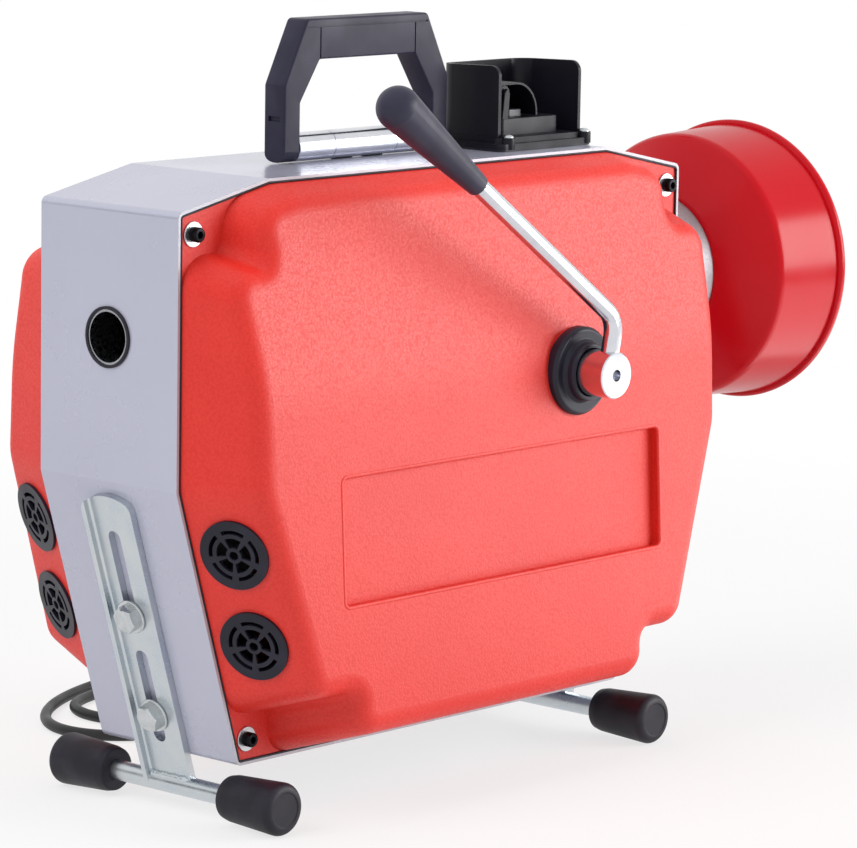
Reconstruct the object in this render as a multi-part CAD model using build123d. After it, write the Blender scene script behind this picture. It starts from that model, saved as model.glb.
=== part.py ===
from build123d import *
import math
import os

# Drain cleaning machine for sectional spirals, in millimetres, +Z up.
# +X runs from the spiral inlet to the splash bowl, and -Y is the lever side.
# The pieces are drawn about the middle of the chassis band, on the floor, and are
# then moved so that the origin lies on the floor below the middle of the machine.

# Chassis band of bent sheet steel
FRAME_LENGTH = 515.0
FRAME_WIDTH = 130.0
FRAME_HEIGHT = 394.5
FRAME_LIFT = 42.0
SHOULDER_RUN = 83.5
SLANT_INSET = 59.25
SHOULDER_DROP = 17.5
KNEE_HEIGHT = 192.5
SHEET = 2.5
BEND_RADIUS = 5.0
TAB_SIZE = 26.0
TAB_SHEET = 3.0

# Moulded side covers
COVER_GAP = 0.8
COVER_SINK = 1.0
COVER_WALL = 3.0
DOME_HEIGHT = 59.5
DOME_DRAFT = 17.0
FACE_LEAN = 3.2
FACE_BULGE = 10.0
BROW_LEAN = 14.0
BROW_RISE = 16.0
BROW_RADIUS = 220.0
CROWN_RADIUS = 16.0
CORNER_RADIUS = 23.0
LOW_CORNER_RADIUS = 18.0
NOTCH_RADIUS = 10.0
KNEE_RADIUS = 40.0
TOP_NOTCH = (38.0, 25.0)
BOTTOM_NOTCH = (26.0, 32.0)
COVER_SCREW_INSET = 14.0
TOP_SCREW_DROP = 14.5
BOTTOM_SCREW_RISE = 17.5
BOTTOM_SCREW_INSET = 9.0
SCREW_RADIUS = 3.0
SCREW_HEAD_RADIUS = 5.0
SCREW_HEAD_HEIGHT = 6.0
SCREW_SOCKET_RADIUS = 2.6
SCREW_LENGTH = 12.0
WASHER_RADIUS = 8.5
WASHER_SHEET = 1.2
HOLE_CLEARANCE = 0.3
PAST = 1.0

# Label recess in the near cover, left bare
RECESS_INSET = 93.0
RECESS_HEIGHT = 86.0
RECESS_CENTRE = (2.5, 198.0)
RECESS_DEPTH = 6.5
RECESS_RADIUS = 4.0

# Round vents in the rear walls of the covers
VENT_RADIUS = 24.7
VENT_PLUG_RADIUS = 21.5
VENT_RIM = 2.2
VENT_PLUG = 7.0
VENT_RISE = 29.5
VENT_DROPS = (45.0, 111.5)
VENT_SPOKES = 5
VENT_SPOKE_ANGLE = 16.0
VENT_SLOT_RADII = (15.6, 18.4)
VENT_HOLE_RADII = (5.6, 12.6)
VENT_HUB_RADIUS = 3.2

# Spiral way: inlet, hollow spindle, clamp and splash bowl
AXIS_HEIGHT = 331.5
INLET_BORE_RADIUS = 17.0
INLET_TUBE_RADIUS = 18.5
INLET_TUBE_LENGTH = 48.0
INLET_FLANGE_RADIUS = 28.0
INLET_FLANGE = 2.0
GROMMET_LIP_RADIUS = 20.6
GROMMET_LIP = 1.5
GROMMET_NECK_RADIUS = 19.5
SPINDLE_BORE_RADIUS = 18.0
SPINDLE_RADIUS = 23.0
SPINDLE_INSET = 54.5
SPINDLE_REACH = 40.5
RUNNING_FIT = 0.05
PRESS_GAP = 0.02
BEARING_RADIUS = 38.0
BEARING_WIDTH = 14.0
BEARING_PLATE = 6.0
REAR_PLATE_INSET = 87.5
FRONT_PLATE_INSET = 41.0
PLATE_MARGIN = 3.0
PLATE_WINDOW = (68.0, 60.0)
PLATE_WINDOW_RISE = 70.0
BEARING_GROOVE = (5.0, 2.0)

# Spur gear drive
GEAR_MODULE = 2.5
GEAR_TEETH = 64
PINION_TEETH = 16
GEAR_WIDTH = 18.0
GEAR_BACKLASH = 0.4
PRESSURE_ANGLE = 20.0
DEDENDUM_SHARE = 1.25
GEAR_HUB = 10.0
GEAR_RIM = 10.0
GEAR_GAP = 8.0
MOTOR_RADIUS = 55.0
MOTOR_LENGTH = 140.0
MOTOR_SHAFT_RADIUS = 8.0
MOTOR_FINS = 18
MOTOR_FIN_DEPTH = 3.0
MOTOR_FIN_WIDTH = 6.0
MOTOR_FLANGE = 12.0
FAN_RADIUS = 46.0
FAN_WIDTH = 10.0
FAN_BLADES = 8
FAN_HUB_RADIUS = 16.0
FAN_BLADE_SHEET = 3.0
FAN_GAP = 2.0
SHAFT_END = 2.0
SHAFT_HOLE_GAP = 4.0

# Clamp sleeve and jaws
SLEEVE_RADIUS = 27.0
SLEEVE_FLANGE_RADIUS = 31.0
SLEEVE_FLANGE = 4.0
BELL_RADIUS = 40.0
BELL_INSET = 3.5
JAW_REACH = 4.5
JAW_LENGTH = 20.0
JAW_WIDTH = 10.0
JAW_COUNT = 3
JAW_TRAVEL = 2.5
JAW_TOP_RADIUS = 30.6
JAW_CLEARANCE = 0.3
FORK_GROOVE_GAP = 0.6

# Front collar and splash bowl
COLLAR_RADIUS = 57.0
COLLAR_BORE_RADIUS = 44.0
COLLAR_LENGTH = 54.5
COLLAR_FLANGE_RADIUS = 68.0
COLLAR_FLANGE = 5.0
COLLAR_GROOVE = 1.5
BOWL_SHEET = 2.0
BOWL_BACK_RADIUS = 100.0
BOWL_CONE = 28.0
BOWL_DEPTH = 58.0
BOWL_MOUTH_RADIUS = 103.0
BOWL_LIP_RADIUS = 107.0
BOWL_LIP = 13.0
BOWL_FLARE = 4.0
BOWL_SCREWS = 4
BOWL_SCREW_TURN = 45.0

# Hand lever on the near side
LEVER_X = 79.0
LEVER_SWING = 40.0
LEVER_SHAFT_RADIUS = 9.0
LEVER_SHAFT_GAP = 1.5
HUB_RADIUS = 16.3
HUB_LENGTH = 28.0
HUB_STAND = 6.5
HUB_TAP_RADIUS = 4.2
HUB_TAP_DEPTH = 12.0
HUB_EDGE = 0.8
LEVER_SEAT = 6.0
LEVER_ROD_RADIUS = 6.6
LEVER_ROD_INSET = 9.5
LEVER_NECK = 39.0
LEVER_NECK_ANGLE = 12.5
LEVER_BEND_RADIUS = 13.0
LEVER_RISE_ANGLE = 35.0
LEVER_RUN = 180.0
GRIP_LENGTH = 112.0
GRIP_ROOT_RADIUS = 7.8
GRIP_TIP_RADIUS = 15.0
GRIP_RIDGE = 0.8
GRIP_RIDGE_START = 4.0
SEAL_RADIUS = 30.0
SEAL_HEIGHT = 5.0
SEAL_STEP_RADIUS = 20.5
SEAL_STEP_HEIGHT = 12.0
SEAL_NECK_RADIUS = 18.5
SEAL_EDGE = 1.5
FORK_ARM = 8.0
FORK_BOSS_RADIUS = 14.0
FORK_INNER = 33.0
FORK_PIN_RADIUS = 4.4
FORK_PIN_TIP = 28.0
EAR_INNER = 46.0
EAR_SHEET = 6.0
EAR_REACH = 16.0
SPRING_WIRE = 1.4
SPRING_TURNS = 5
SPRING_PITCH = 3.4
SHAFT_COLLAR_RADIUS = 12.5
SHAFT_COLLAR = 3.0

# Carrying handle on its tube
HANDLE_TO_SWITCH = 150.5
HANDLE_LENGTH = 166.0
HANDLE_WIDTH = 19.6
HANDLE_LEG = 16.0
HANDLE_HEIGHT = 88.0
HANDLE_BAR = 28.0
HANDLE_KNEE = 43.5
HANDLE_SLANT = 22.0
HANDLE_INNER_KNEE = 31.0
HANDLE_INNER_SLANT = 19.0
HANDLE_BENDS = (3.0, 4.0)
LUG_FLAT = 0.4
GRIP_GROOVE = 1.2
GRIP_GROOVE_DEPTH = 0.8
GRIP_GROOVE_DROP = 5.0
TUBE_RADIUS = 10.0
TUBE_LIFT = 0.4
TUBE_PIN_RADIUS = 7.5
TUBE_PIN = 11.0
TUBE_RING = 36.0
TUBE_GROOVE = 0.5
SADDLE_LENGTH = 18.0
SADDLE_WIDTH = 14.0
SIDE_CLEARANCE = 0.3

# Switch on the top
SWITCH_INSET = 43.0
SWITCH_Y = -9.0
SWITCH_BASE = (100.0, 74.0)
GASKET = 1.5
BASE_STEP = 4.0
BASE_STEP_INSET = 4.0
BASE_CORNER = 6.0
BLOCK_CORNER = 3.0
GUARD_SIZE = (90.0, 58.0)
GUARD_HEIGHT = 51.0
GUARD_FALL = 1.5
GUARD_WALL = 3.0
GUARD_CORNER = 14.0
GUARD_LIP_RADIUS = 8.0
SWITCH_BLOCK = (62.0, 40.0, 12.0)
BUTTON_SIZE = (12.0, 18.0)
BUTTON_START = 12.0
BUTTON_PITCH = 15.0
BUTTON_RISE = 5.0
BUTTON_TRAVEL = 3.0
BUTTON_GAP = 0.3
BUTTON_DEPTH = 5.0
BUTTON_EDGE = 1.0
FLAP_LENGTH = 41.0
FLAP_WIDTH = 34.0
FLAP_HEIGHT = 24.0
FLAP_SHEET = 2.4
FLAP_BROW = 14.0
FLAP_BENDS = (6.0, 14.0, 6.0)
FLAP_PIN_RADIUS = 1.8
FLAP_EAR = 4.0
FLAP_SKIRT = 9.0
BASE_SCREW_RADIUS = 4.0
BASE_SCREW_HEAD = 2.6
BASE_LUGS = (-39.0, 44.0)
BASE_LUG_REACH = 33.5
BASE_LUG_RADIUS = 5.0

# Adjustable feet
FOOT_SHEET = 5.0
FOOT_WIDTH = 42.0
FOOT_TOP = 5.0
FOOT_CROWN = 9.0
FOOT_CROWN_RADIUS = 40.0
FOOT_CORNER = 8.0
FOOT_BEVEL = 0.6
FOOT_FLANGE = 5.5
FOOT_FLANGE_SHEET = 4.0
FOOT_FLANGE_BEND = 2.0
FOOT_ROD_RADIUS = 7.0
FOOT_ROD_LENGTH = 196.0
FOOT_ROD_OUT = 3.3
SLOT_WIDTH = 11.0
SLOT_LENGTH = 69.0
SLOT_TOPS = (34.0, 123.0)
FOOT_BOLT_DROPS = (97.0, 171.5)
BOLT_RADIUS = 5.0
BOLT_HEX = 17.0
BOLT_HEAD = 7.0
BOLT_WASHER_RADIUS = 12.0
BOLT_WASHER = 2.0
FACE_GAP = 0.15
CAP_RADIUS = 18.5
CAP_NECK_RADIUS = 15.5
CAP_LENGTH = 52.0
CAP_REACH = 107.0
CAP_ROUND = 6.0
CAP_EDGE = 2.0

# Supply cord on the far side
CORD_RADIUS = 4.1
CORD_BEND_SHARE = 0.45
GLAND_PLACE = (35.0, 96.0)
GLAND_NUT_RADIUS = 12.0
GLAND_NUT = 8.0
GLAND_STEP = 4.0
GLAND_LENGTH = 30.0
GLAND_TIP_RADIUS = 5.6
COIL_CENTRE = (236.0, 236.0)
COIL_RADIUS = 42.0
COIL_ROWS = 4
COIL_LAYERS = 2
FLOOR_GAP = 0.05
PLUG_DISTANCE = 40.0
PLUG_RADIUS = 16.0
PLUG_LENGTH = 42.0
PLUG_FRONT = 14.0
PLUG_NECK = 8.0
PLUG_TAIL = 2.0
PLUG_PIN_RADIUS = 2.4
PLUG_PIN = 19.0
PLUG_PIN_PITCH = 19.0
CORD_ROUTE = [
    (34.0, 174.0, 85.0), (31.0, 188.0, 65.0), (24.0, 192.0, 42.0), (11.0, 191.0, 22.0),
    (-7.0, 188.0, 9.0), (-28.0, 191.0, 4.2), (-44.0, 206.0, 4.2), (-51.0, 227.0, 4.2),
    (-48.0, 249.0, 4.2), (-35.0, 268.0, 4.2), (-14.0, 279.0, 4.2), (15.0, 286.0, 4.2),
    (46.0, 284.0, 4.2), (73.0, 268.0, 4.2), (88.0, 240.0, 4.2), (83.0, 208.0, 4.2),
    (58.0, 180.0, 4.2), (20.0, 161.0, 4.2), (-26.0, 152.0, 4.2), (-66.0, 158.0, 4.2),
    (-93.0, 183.0, 4.2), (-99.0, 218.0, 4.2), (-81.0, 252.0, 4.2), (-43.0, 282.0, 4.2),
    (6.0, 303.0, 4.2), (60.0, 313.0, 4.2), (114.0, 312.0, 4.2), (160.0, 302.0, 4.2),
    (198.0, 294.0, 4.2),
]

# Places that follow from the driving sizes
HALF = FRAME_LENGTH / 2
SIDE = FRAME_WIDTH / 2
BASE_Z = FRAME_LIFT
TOP_Z = FRAME_LIFT + FRAME_HEIGHT
KNEE_Z = BASE_Z + KNEE_HEIGHT
TOP_FLAT = FRAME_LENGTH - 2 * SHOULDER_RUN
BOTTOM_FLAT = FRAME_LENGTH - 2 * SLANT_INSET
RECESS_LENGTH = FRAME_LENGTH - 2 * RECESS_INSET
SHOULDER_Z = TOP_Z - SHOULDER_DROP
COVER_FACE = SIDE - COVER_SINK
COVER_BACK = COVER_FACE - COVER_WALL
COVER_NEST = SHEET + COVER_GAP
DOME_FACE = COVER_FACE + DOME_HEIGHT
DRAFT = math.radians(DOME_DRAFT)
GEAR_RADIUS = GEAR_MODULE * GEAR_TEETH / 2
PINION_RADIUS = GEAR_MODULE * PINION_TEETH / 2
MOTOR_HEIGHT = AXIS_HEIGHT - GEAR_RADIUS - PINION_RADIUS
SPINDLE_REAR = -HALF + SPINDLE_INSET
SPINDLE_FRONT = HALF + SPINDLE_REACH
REAR_PLATE_X = -HALF + REAR_PLATE_INSET
FRONT_PLATE_X = LEVER_X - FRONT_PLATE_INSET
BELL_REAR = HALF - BELL_INSET
JAW_REAR = HALF + JAW_REACH
GEAR_FRONT = REAR_PLATE_X - BEARING_PLATE - GEAR_GAP
GEAR_REAR = GEAR_FRONT - GEAR_WIDTH
HALF_SWING = math.radians(LEVER_SWING / 2)
FORK_RISE = SLEEVE_FLANGE_RADIUS + LEVER_SHAFT_GAP + LEVER_SHAFT_RADIUS
LEVER_HEIGHT = AXIS_HEIGHT - FORK_RISE
FORK_LEAN = FORK_RISE * math.tan(HALF_SWING)
SLEEVE_TRAVEL = 2 * FORK_LEAN
FORK_PIN_X = LEVER_X + FORK_LEAN
JAW_SLOPE = JAW_TRAVEL / SLEEVE_TRAVEL
BELL_FRONT = JAW_REAR + JAW_LENGTH + SLEEVE_TRAVEL + JAW_CLEARANCE
COLLAR_FRONT = HALF + COLLAR_LENGTH
BOWL_REAR = COLLAR_FRONT
BOWL_FRONT = BOWL_REAR + BOWL_CONE + BOWL_DEPTH + BOWL_LIP
HUB_FACE = DOME_FACE + HUB_STAND + HUB_LENGTH
LEVER_PLANE = HUB_FACE - LEVER_ROD_INSET
TUBE_Z = TOP_Z + TUBE_LIFT + TUBE_RADIUS
SWITCH_X = TOP_FLAT / 2 - SWITCH_INSET
HANDLE_X = SWITCH_X - HANDLE_TO_SWITCH
STEP_Z = TOP_Z + GASKET + BASE_STEP
GUARD_Z = STEP_Z + BASE_STEP
BLOCK_Z = GUARD_Z + SWITCH_BLOCK[2]
SLANT_LENGTH = math.hypot(SLANT_INSET, KNEE_HEIGHT)
SLANT_RUN = SLANT_INSET / SLANT_LENGTH
SLANT_FALL = KNEE_HEIGHT / SLANT_LENGTH
FOOT_ROD_DROP = (KNEE_Z - CAP_RADIUS - SLANT_RUN * FOOT_ROD_OUT) / SLANT_FALL
ORIGIN_X = (BOWL_FRONT - HALF - GROMMET_LIP) / 2
ORIGIN_Y = (DOME_FACE + FACE_BULGE - LEVER_PLANE - GRIP_TIP_RADIUS) / 2


# Plain shapes

def block(x, y, z):
    """Box between two X, two Y and two Z values."""
    sizes = [high - low for low, high in (x, y, z)]
    middle = [(low + high) / 2 for low, high in (x, y, z)]
    return Pos(*middle) * Box(*sizes)


def rod_x(radius, start, end, y=0.0, z=AXIS_HEIGHT):
    """Cylinder along X."""
    return Pos((start + end) / 2, y, z) * Rot(0, 90, 0) * Cylinder(radius, end - start)


def rod_y(radius, start, end, x, z):
    """Cylinder along Y."""
    return Pos(x, (start + end) / 2, z) * Rot(90, 0, 0) * Cylinder(radius, end - start)


def rod_z(radius, start, end, x, y):
    """Cylinder along Z."""
    return Pos(x, y, (start + end) / 2) * Cylinder(radius, end - start)


def ring_x(inner, outer, start, end, y=0.0, z=AXIS_HEIGHT):
    """Tube along X."""
    return rod_x(outer, start, end, y, z) - rod_x(inner, start - PAST, end + PAST, y, z)


def turned(profile):
    """Body of revolution from (length, radius) points, about local Z."""
    face = make_face(Polyline(*[(radius, 0, length) for length, radius in profile], close=True))
    return revolve(face, Axis.Z)


def turned_x(profile, z=AXIS_HEIGHT):
    """Body of revolution about the X line at height z."""
    return Pos(0, 0, z) * Rot(0, 90, 0) * turned(profile)


def outline_xz(points, radii, y):
    """Face in a plane of constant Y, with rounded corners."""
    corners = [(x, y, z) for x, z in points]
    return make_face(FilletPolyline(*corners, radius=radii, close=True))


def slab_xz(points, radii, start, end):
    """Plate between two Y planes, with rounded corners."""
    return extrude(outline_xz(points, radii, start), end - start, dir=(0, 1, 0))


def inset(points, distance):
    """Closed clockwise outline with every side moved inwards by the same distance."""
    sides = []
    for (x0, z0), (x1, z1) in zip(points, points[1:] + points[:1]):
        length = math.hypot(x1 - x0, z1 - z0)
        along = ((x1 - x0) / length, (z1 - z0) / length)
        sides.append(((x0 + along[1] * distance, z0 - along[0] * distance), along))
    moved = []
    for (p, a), (q, b) in zip(sides[-1:] + sides[:-1], sides):
        turn = a[0] * b[1] - a[1] * b[0]
        share = ((q[0] - p[0]) * b[1] - (q[1] - p[1]) * b[0]) / turn
        moved.append((p[0] + a[0] * share, p[1] + a[1] * share))
    return moved


def mirrored(points):
    """Right half of an outline, top to bottom, completed with its mirror image."""
    return points + [(-x, z) for x, z in reversed(points)]


# Chassis band

def band_outline():
    """Octagon round the band's outer face."""
    return mirrored([(TOP_FLAT / 2, TOP_Z), (HALF, SHOULDER_Z), (HALF, KNEE_Z), (BOTTOM_FLAT / 2, BASE_Z)])


def cover_screw_places():
    """Screw centres of one cover, as (x, z)."""
    top = (HALF - COVER_SCREW_INSET, SHOULDER_Z - TOP_SCREW_DROP)
    low = (BOTTOM_FLAT / 2 - BOTTOM_SCREW_INSET, BASE_Z + BOTTOM_SCREW_RISE)
    return [(side * x, z) for x, z in (top, low) for side in (-1, 1)]


def slant_point(end, drop, out):
    """Point on a lower slanted face: end -1 rear or 1 front, drop below the knee, out from the sheet."""
    x = HALF - SLANT_RUN * drop + SLANT_FALL * out
    return (end * x, KNEE_Z - SLANT_FALL * drop - SLANT_RUN * out)


def slant_frame(end, drop, out):
    """Plane on a lower slanted face: local X along Y, local Y down the slope, local Z outwards."""
    x, z = slant_point(end, drop, out)
    return Plane(origin=(x, 0, z), x_dir=(0, -end, 0), z_dir=(end * SLANT_FALL, 0, -SLANT_RUN))


def frame_band():
    """Closed band with corner tabs for the covers and holes for what passes through it."""
    outer = band_outline()
    inner = inset(outer, SHEET)
    corners = len(outer)
    band = slab_xz(outer, [BEND_RADIUS] * corners, -SIDE, SIDE)
    band -= slab_xz(inner, [BEND_RADIUS - SHEET] * corners, -SIDE - PAST, SIDE + PAST)
    band -= rod_x(GROMMET_NECK_RADIUS + HOLE_CLEARANCE, -HALF - PAST, -HALF + SHEET + PAST)
    band -= rod_x(COLLAR_BORE_RADIUS, HALF - SHEET - PAST, HALF + PAST)
    band -= rod_z(BUTTON_PITCH / 2, TOP_Z - SHEET - PAST, TOP_Z + PAST, SWITCH_X, SWITCH_Y)
    for end in (-1, 1):
        for drop in FOOT_BOLT_DROPS:
            hole = Cylinder(BOLT_RADIUS + HOLE_CLEARANCE, 4 * SHEET)
            band -= slant_frame(end, drop, 0).location * hole
    inside = slab_xz(inner, [0] * corners, -SIDE, SIDE)
    for x, z in cover_screw_places():
        for side in (-1, 1):
            reach = sorted((side * COVER_BACK, side * (COVER_BACK - TAB_SHEET)))
            tab = block((x - TAB_SIZE / 2, x + TAB_SIZE / 2), reach, (z - TAB_SIZE / 2, z + TAB_SIZE / 2))
            end = math.copysign(1, x)
            foot = BASE_Z if z < KNEE_Z else z
            corner = block(sorted((x, end * HALF)), reach, sorted((foot, z + TAB_SIZE / 2)))
            tab = (tab + corner) & inside
            band += tab - rod_y(SCREW_RADIUS, reach[0] - PAST, reach[1] + PAST, x, z)
    return band


# Side covers

def dome_outline():
    """Cover outline at the band's edge, with a notch for the screw at each corner."""
    notch_x = HALF - TOP_NOTCH[0]
    shoulder = SHOULDER_DROP / (HALF - TOP_FLAT / 2)
    notch_top = TOP_Z - shoulder * (notch_x - TOP_FLAT / 2)
    notch_z = SHOULDER_Z - TOP_NOTCH[1]
    low_x = BOTTOM_FLAT / 2 - BOTTOM_NOTCH[0]
    low_z = BASE_Z + BOTTOM_NOTCH[1]
    slant_x = HALF - (KNEE_Z - low_z) * SLANT_RUN / SLANT_FALL
    return mirrored([
        (TOP_FLAT / 2, TOP_Z), (notch_x, notch_top), (notch_x, notch_z), (HALF, notch_z),
        (HALF, KNEE_Z), (slant_x, low_z), (low_x, low_z), (low_x, BASE_Z),
    ])


def dome_radii(run):
    """Corner radii of the dome outline, most of them smaller where it has run further in."""
    corner = CORNER_RADIUS - run / 4
    half = [KNEE_RADIUS, corner, NOTCH_RADIUS, corner, KNEE_RADIUS, corner, NOTCH_RADIUS, LOW_CORNER_RADIUS]
    return half + half[::-1]


def dome_block(gap):
    """Drafted block inside the near cover's outline, higher than the dome."""
    sections = []
    for rise in (0, 4 * DOME_HEIGHT / 3):
        run = rise * math.tan(DRAFT)
        corners = inset(dome_outline(), COVER_NEST + gap + run)
        sections.append(outline_xz(corners, dome_radii(gap + run), -COVER_FACE - rise))
    return loft(sections, ruled=True)


def face_block(depth):
    """Everything behind the near cover's face: it leans out towards the floor and back in the brow."""
    low, high = BASE_Z - DOME_HEIGHT, TOP_Z + DOME_HEIGHT
    brow = LEVER_HEIGHT + BROW_RISE
    lean, back = math.tan(math.radians(FACE_LEAN)), math.tan(math.radians(BROW_LEAN))
    face = depth - DOME_FACE
    seat = LEVER_HEIGHT - SEAL_RADIUS
    bend = face + (brow - seat) * lean
    edge = [
        (face + (low - seat) * lean, low), (bend, brow), (bend + (high - brow) * back, high),
        (DOME_HEIGHT, high), (DOME_HEIGHT, low),
    ]
    side = FilletPolyline(*[(-HALF, y, z) for y, z in edge], radius=[0, BROW_RADIUS, 0, 0, 0], close=True)
    return extrude(make_face(side), FRAME_LENGTH, dir=(1, 0, 0))


def dome(gap, crown):
    """Near cover's dome, a gap inside its outer skin, with its crest rounded."""
    body = dome_block(gap) & face_block(gap)
    fronts = [face for face in body.faces() if face.normal_at().Y < -math.cos(DRAFT)]
    edges = [edge for face in fronts for edge in face.edges()]
    crest = [edge for edge in edges if sum(edge.is_same(other) for other in edges) == 1]
    return fillet(crest, crown)


def hollow_dome():
    """Hollow of the near cover, open towards the band."""
    first = inset(dome_outline(), COVER_NEST + COVER_WALL)
    mouth = slab_xz(first, dome_radii(COVER_WALL), -COVER_FACE, -COVER_BACK + PAST)
    return dome(COVER_WALL, CROWN_RADIUS - COVER_WALL) + mouth


def recess_block(margin, depth):
    """Block of the recess, grown by a margin, from the dome's face inwards."""
    x, z = RECESS_CENTRE
    half_x = RECESS_LENGTH / 2 + margin
    half_z = RECESS_HEIGHT / 2 + margin
    rear, front, low, high = x - half_x, x + half_x, z - half_z, z + half_z
    corners = [(rear, high), (front, high), (front, low), (rear, low)]
    slab = slab_xz(corners, [RECESS_RADIUS + margin] * 4, -DOME_FACE - PAST, -DOME_FACE + depth)
    seat = LEVER_HEIGHT - SEAL_RADIUS
    return Pos(0, -DOME_FACE, seat) * Rot(-FACE_LEAN, 0, 0) * Pos(0, DOME_FACE, -seat) * slab


def vent_frame(drop):
    """Plane on the near cover's rear wall, local Z outwards, centred on a vent."""
    x, z = slant_point(-1, drop, 0)
    run = COVER_NEST + (SIDE + VENT_RISE - COVER_FACE) * math.tan(DRAFT)
    centre = (x + run * SLANT_FALL, -SIDE - VENT_RISE, z + run * SLANT_RUN)
    down = Vector(SLANT_RUN, 0, -SLANT_FALL)
    out = Vector(-SLANT_FALL * math.cos(DRAFT), -math.sin(DRAFT), -SLANT_RUN * math.cos(DRAFT))
    return Plane(origin=centre, x_dir=down, z_dir=out)


def cover_shell(recess, seat, place):
    """Near cover before the hole of its flat seat: flange, dome, hollow and seat."""
    flange_points = inset(band_outline(), COVER_NEST)
    flange = slab_xz(flange_points, [BEND_RADIUS] * len(flange_points), -COVER_FACE, -COVER_BACK)
    hollow = hollow_dome()
    hollow -= rod_y(seat + COVER_WALL, -DOME_FACE - DOME_HEIGHT, -DOME_FACE + COVER_WALL, *place)
    if recess:
        hollow -= recess_block(COVER_WALL, RECESS_DEPTH + COVER_WALL)
    shell = flange + dome(0, CROWN_RADIUS) + rod_y(seat, -DOME_FACE, -DOME_FACE + 2 * COVER_WALL, *place)
    shell -= hollow
    shell -= rod_y(seat, -DOME_FACE - DOME_HEIGHT, -DOME_FACE, *place)
    if recess:
        shell -= recess_block(0, RECESS_DEPTH)
    for x, z in cover_screw_places():
        shell -= rod_y(SCREW_RADIUS + HOLE_CLEARANCE, -COVER_FACE - PAST, -COVER_BACK + PAST, x, z)
    for drop in VENT_DROPS:
        shell -= vent_frame(drop).location * Cylinder(VENT_PLUG_RADIUS + HOLE_CLEARANCE, 4 * VENT_PLUG)
    return shell


def cover_near():
    """Cover on the lever side."""
    reach = (-DOME_FACE - PAST, -DOME_FACE + 2 * COVER_WALL)
    place = (LEVER_X, LEVER_HEIGHT)
    shell = cover_shell(True, SEAL_RADIUS + HOLE_CLEARANCE, place)
    return shell - rod_y(SEAL_NECK_RADIUS + HOLE_CLEARANCE, *reach, *place)


def cover_far():
    """Cover on the far side, with the cord's hole."""
    reach = (DOME_FACE - 2 * COVER_WALL, DOME_FACE + PAST)
    shell = cover_shell(False, GLAND_NUT_RADIUS + COVER_WALL, GLAND_PLACE)
    return mirror(shell, about=Plane.XZ) - rod_y(GLAND_TIP_RADIUS + HOLE_CLEARANCE, *reach, *GLAND_PLACE)


def cover_screws():
    """Socket head screws of both covers, each with its washer."""
    head = rod_z(SCREW_HEAD_RADIUS, 0, SCREW_HEAD_HEIGHT, 0, 0)
    socket = extrude(RegularPolygon(SCREW_SOCKET_RADIUS, 6), -SCREW_HEAD_HEIGHT / 2)
    head -= Pos(0, 0, SCREW_HEAD_HEIGHT) * socket
    washer = Pos(0, 0, -WASHER_SHEET / 2) * Cylinder(WASHER_RADIUS, WASHER_SHEET)
    shank = Pos(0, 0, -SCREW_LENGTH / 2) * Cylinder(SCREW_RADIUS - PRESS_GAP, SCREW_LENGTH)
    screw = Pos(0, 0, WASHER_SHEET) * (head + washer + shank)
    screws = []
    for x, z in cover_screw_places():
        for side in (-1, 1):
            screws.append(Pos(x, side * COVER_FACE, z) * Rot(-90 * side, 0, 0) * screw)
    return screws


def sector(inner, outer, start, sweep):
    """Piece of a ring, as a flat face."""
    first, last = math.radians(start), math.radians(start + sweep)
    middle = (first + last) / 2

    def at(radius, angle):
        return (radius * math.cos(angle), radius * math.sin(angle))

    edges = [
        ThreePointArc(at(outer, first), at(outer, middle), at(outer, last)),
        Line(at(outer, last), at(inner, last)),
        ThreePointArc(at(inner, last), at(inner, middle), at(inner, first)),
        Line(at(inner, first), at(outer, first)),
    ]
    return make_face(edges)


def vent_grille():
    """Round grille: flat rim, a ring of slots, a ring of holes and a hub hole."""
    pitch = 360 / VENT_SPOKES
    sweep = pitch - VENT_SPOKE_ANGLE
    face = Circle(VENT_RADIUS) - Circle(VENT_HUB_RADIUS)
    plug = Circle(VENT_PLUG_RADIUS) - Circle(VENT_SLOT_RADII[1])
    for spoke in range(VENT_SPOKES):
        face -= sector(*VENT_SLOT_RADII, spoke * pitch, sweep)
        face -= sector(*VENT_HOLE_RADII, spoke * pitch, sweep)
    return extrude(face, VENT_RIM) + extrude(plug, -VENT_PLUG)


def vents():
    """The four grilles by name, two in each cover."""
    named = {}
    for name, drop in zip(("upper", "lower"), VENT_DROPS):
        near = vent_frame(drop).location * vent_grille()
        named["vent_near_" + name] = near
        named["vent_far_" + name] = mirror(near, about=Plane.XZ)
    return named


# Spiral way

def inlet_tube():
    """Guide tube behind the rear hole, flanged against the sheet."""
    rear = -HALF - GROMMET_LIP / 2
    tube = rod_x(INLET_TUBE_RADIUS, rear, rear + INLET_TUBE_LENGTH)
    tube += rod_x(INLET_FLANGE_RADIUS, -HALF + SHEET, -HALF + SHEET + INLET_FLANGE)
    return tube - rod_x(INLET_BORE_RADIUS, rear - PAST, rear + INLET_TUBE_LENGTH + PAST)


def inlet_grommet():
    """Rubber edging of the rear hole."""
    lip = rod_x(GROMMET_LIP_RADIUS, -HALF - GROMMET_LIP, -HALF)
    neck = rod_x(GROMMET_NECK_RADIUS, -HALF, -HALF + SHEET)
    return lip + neck - rod_x(INLET_TUBE_RADIUS + PRESS_GAP, -HALF - GROMMET_LIP - PAST, -HALF + SHEET + PAST)


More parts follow.
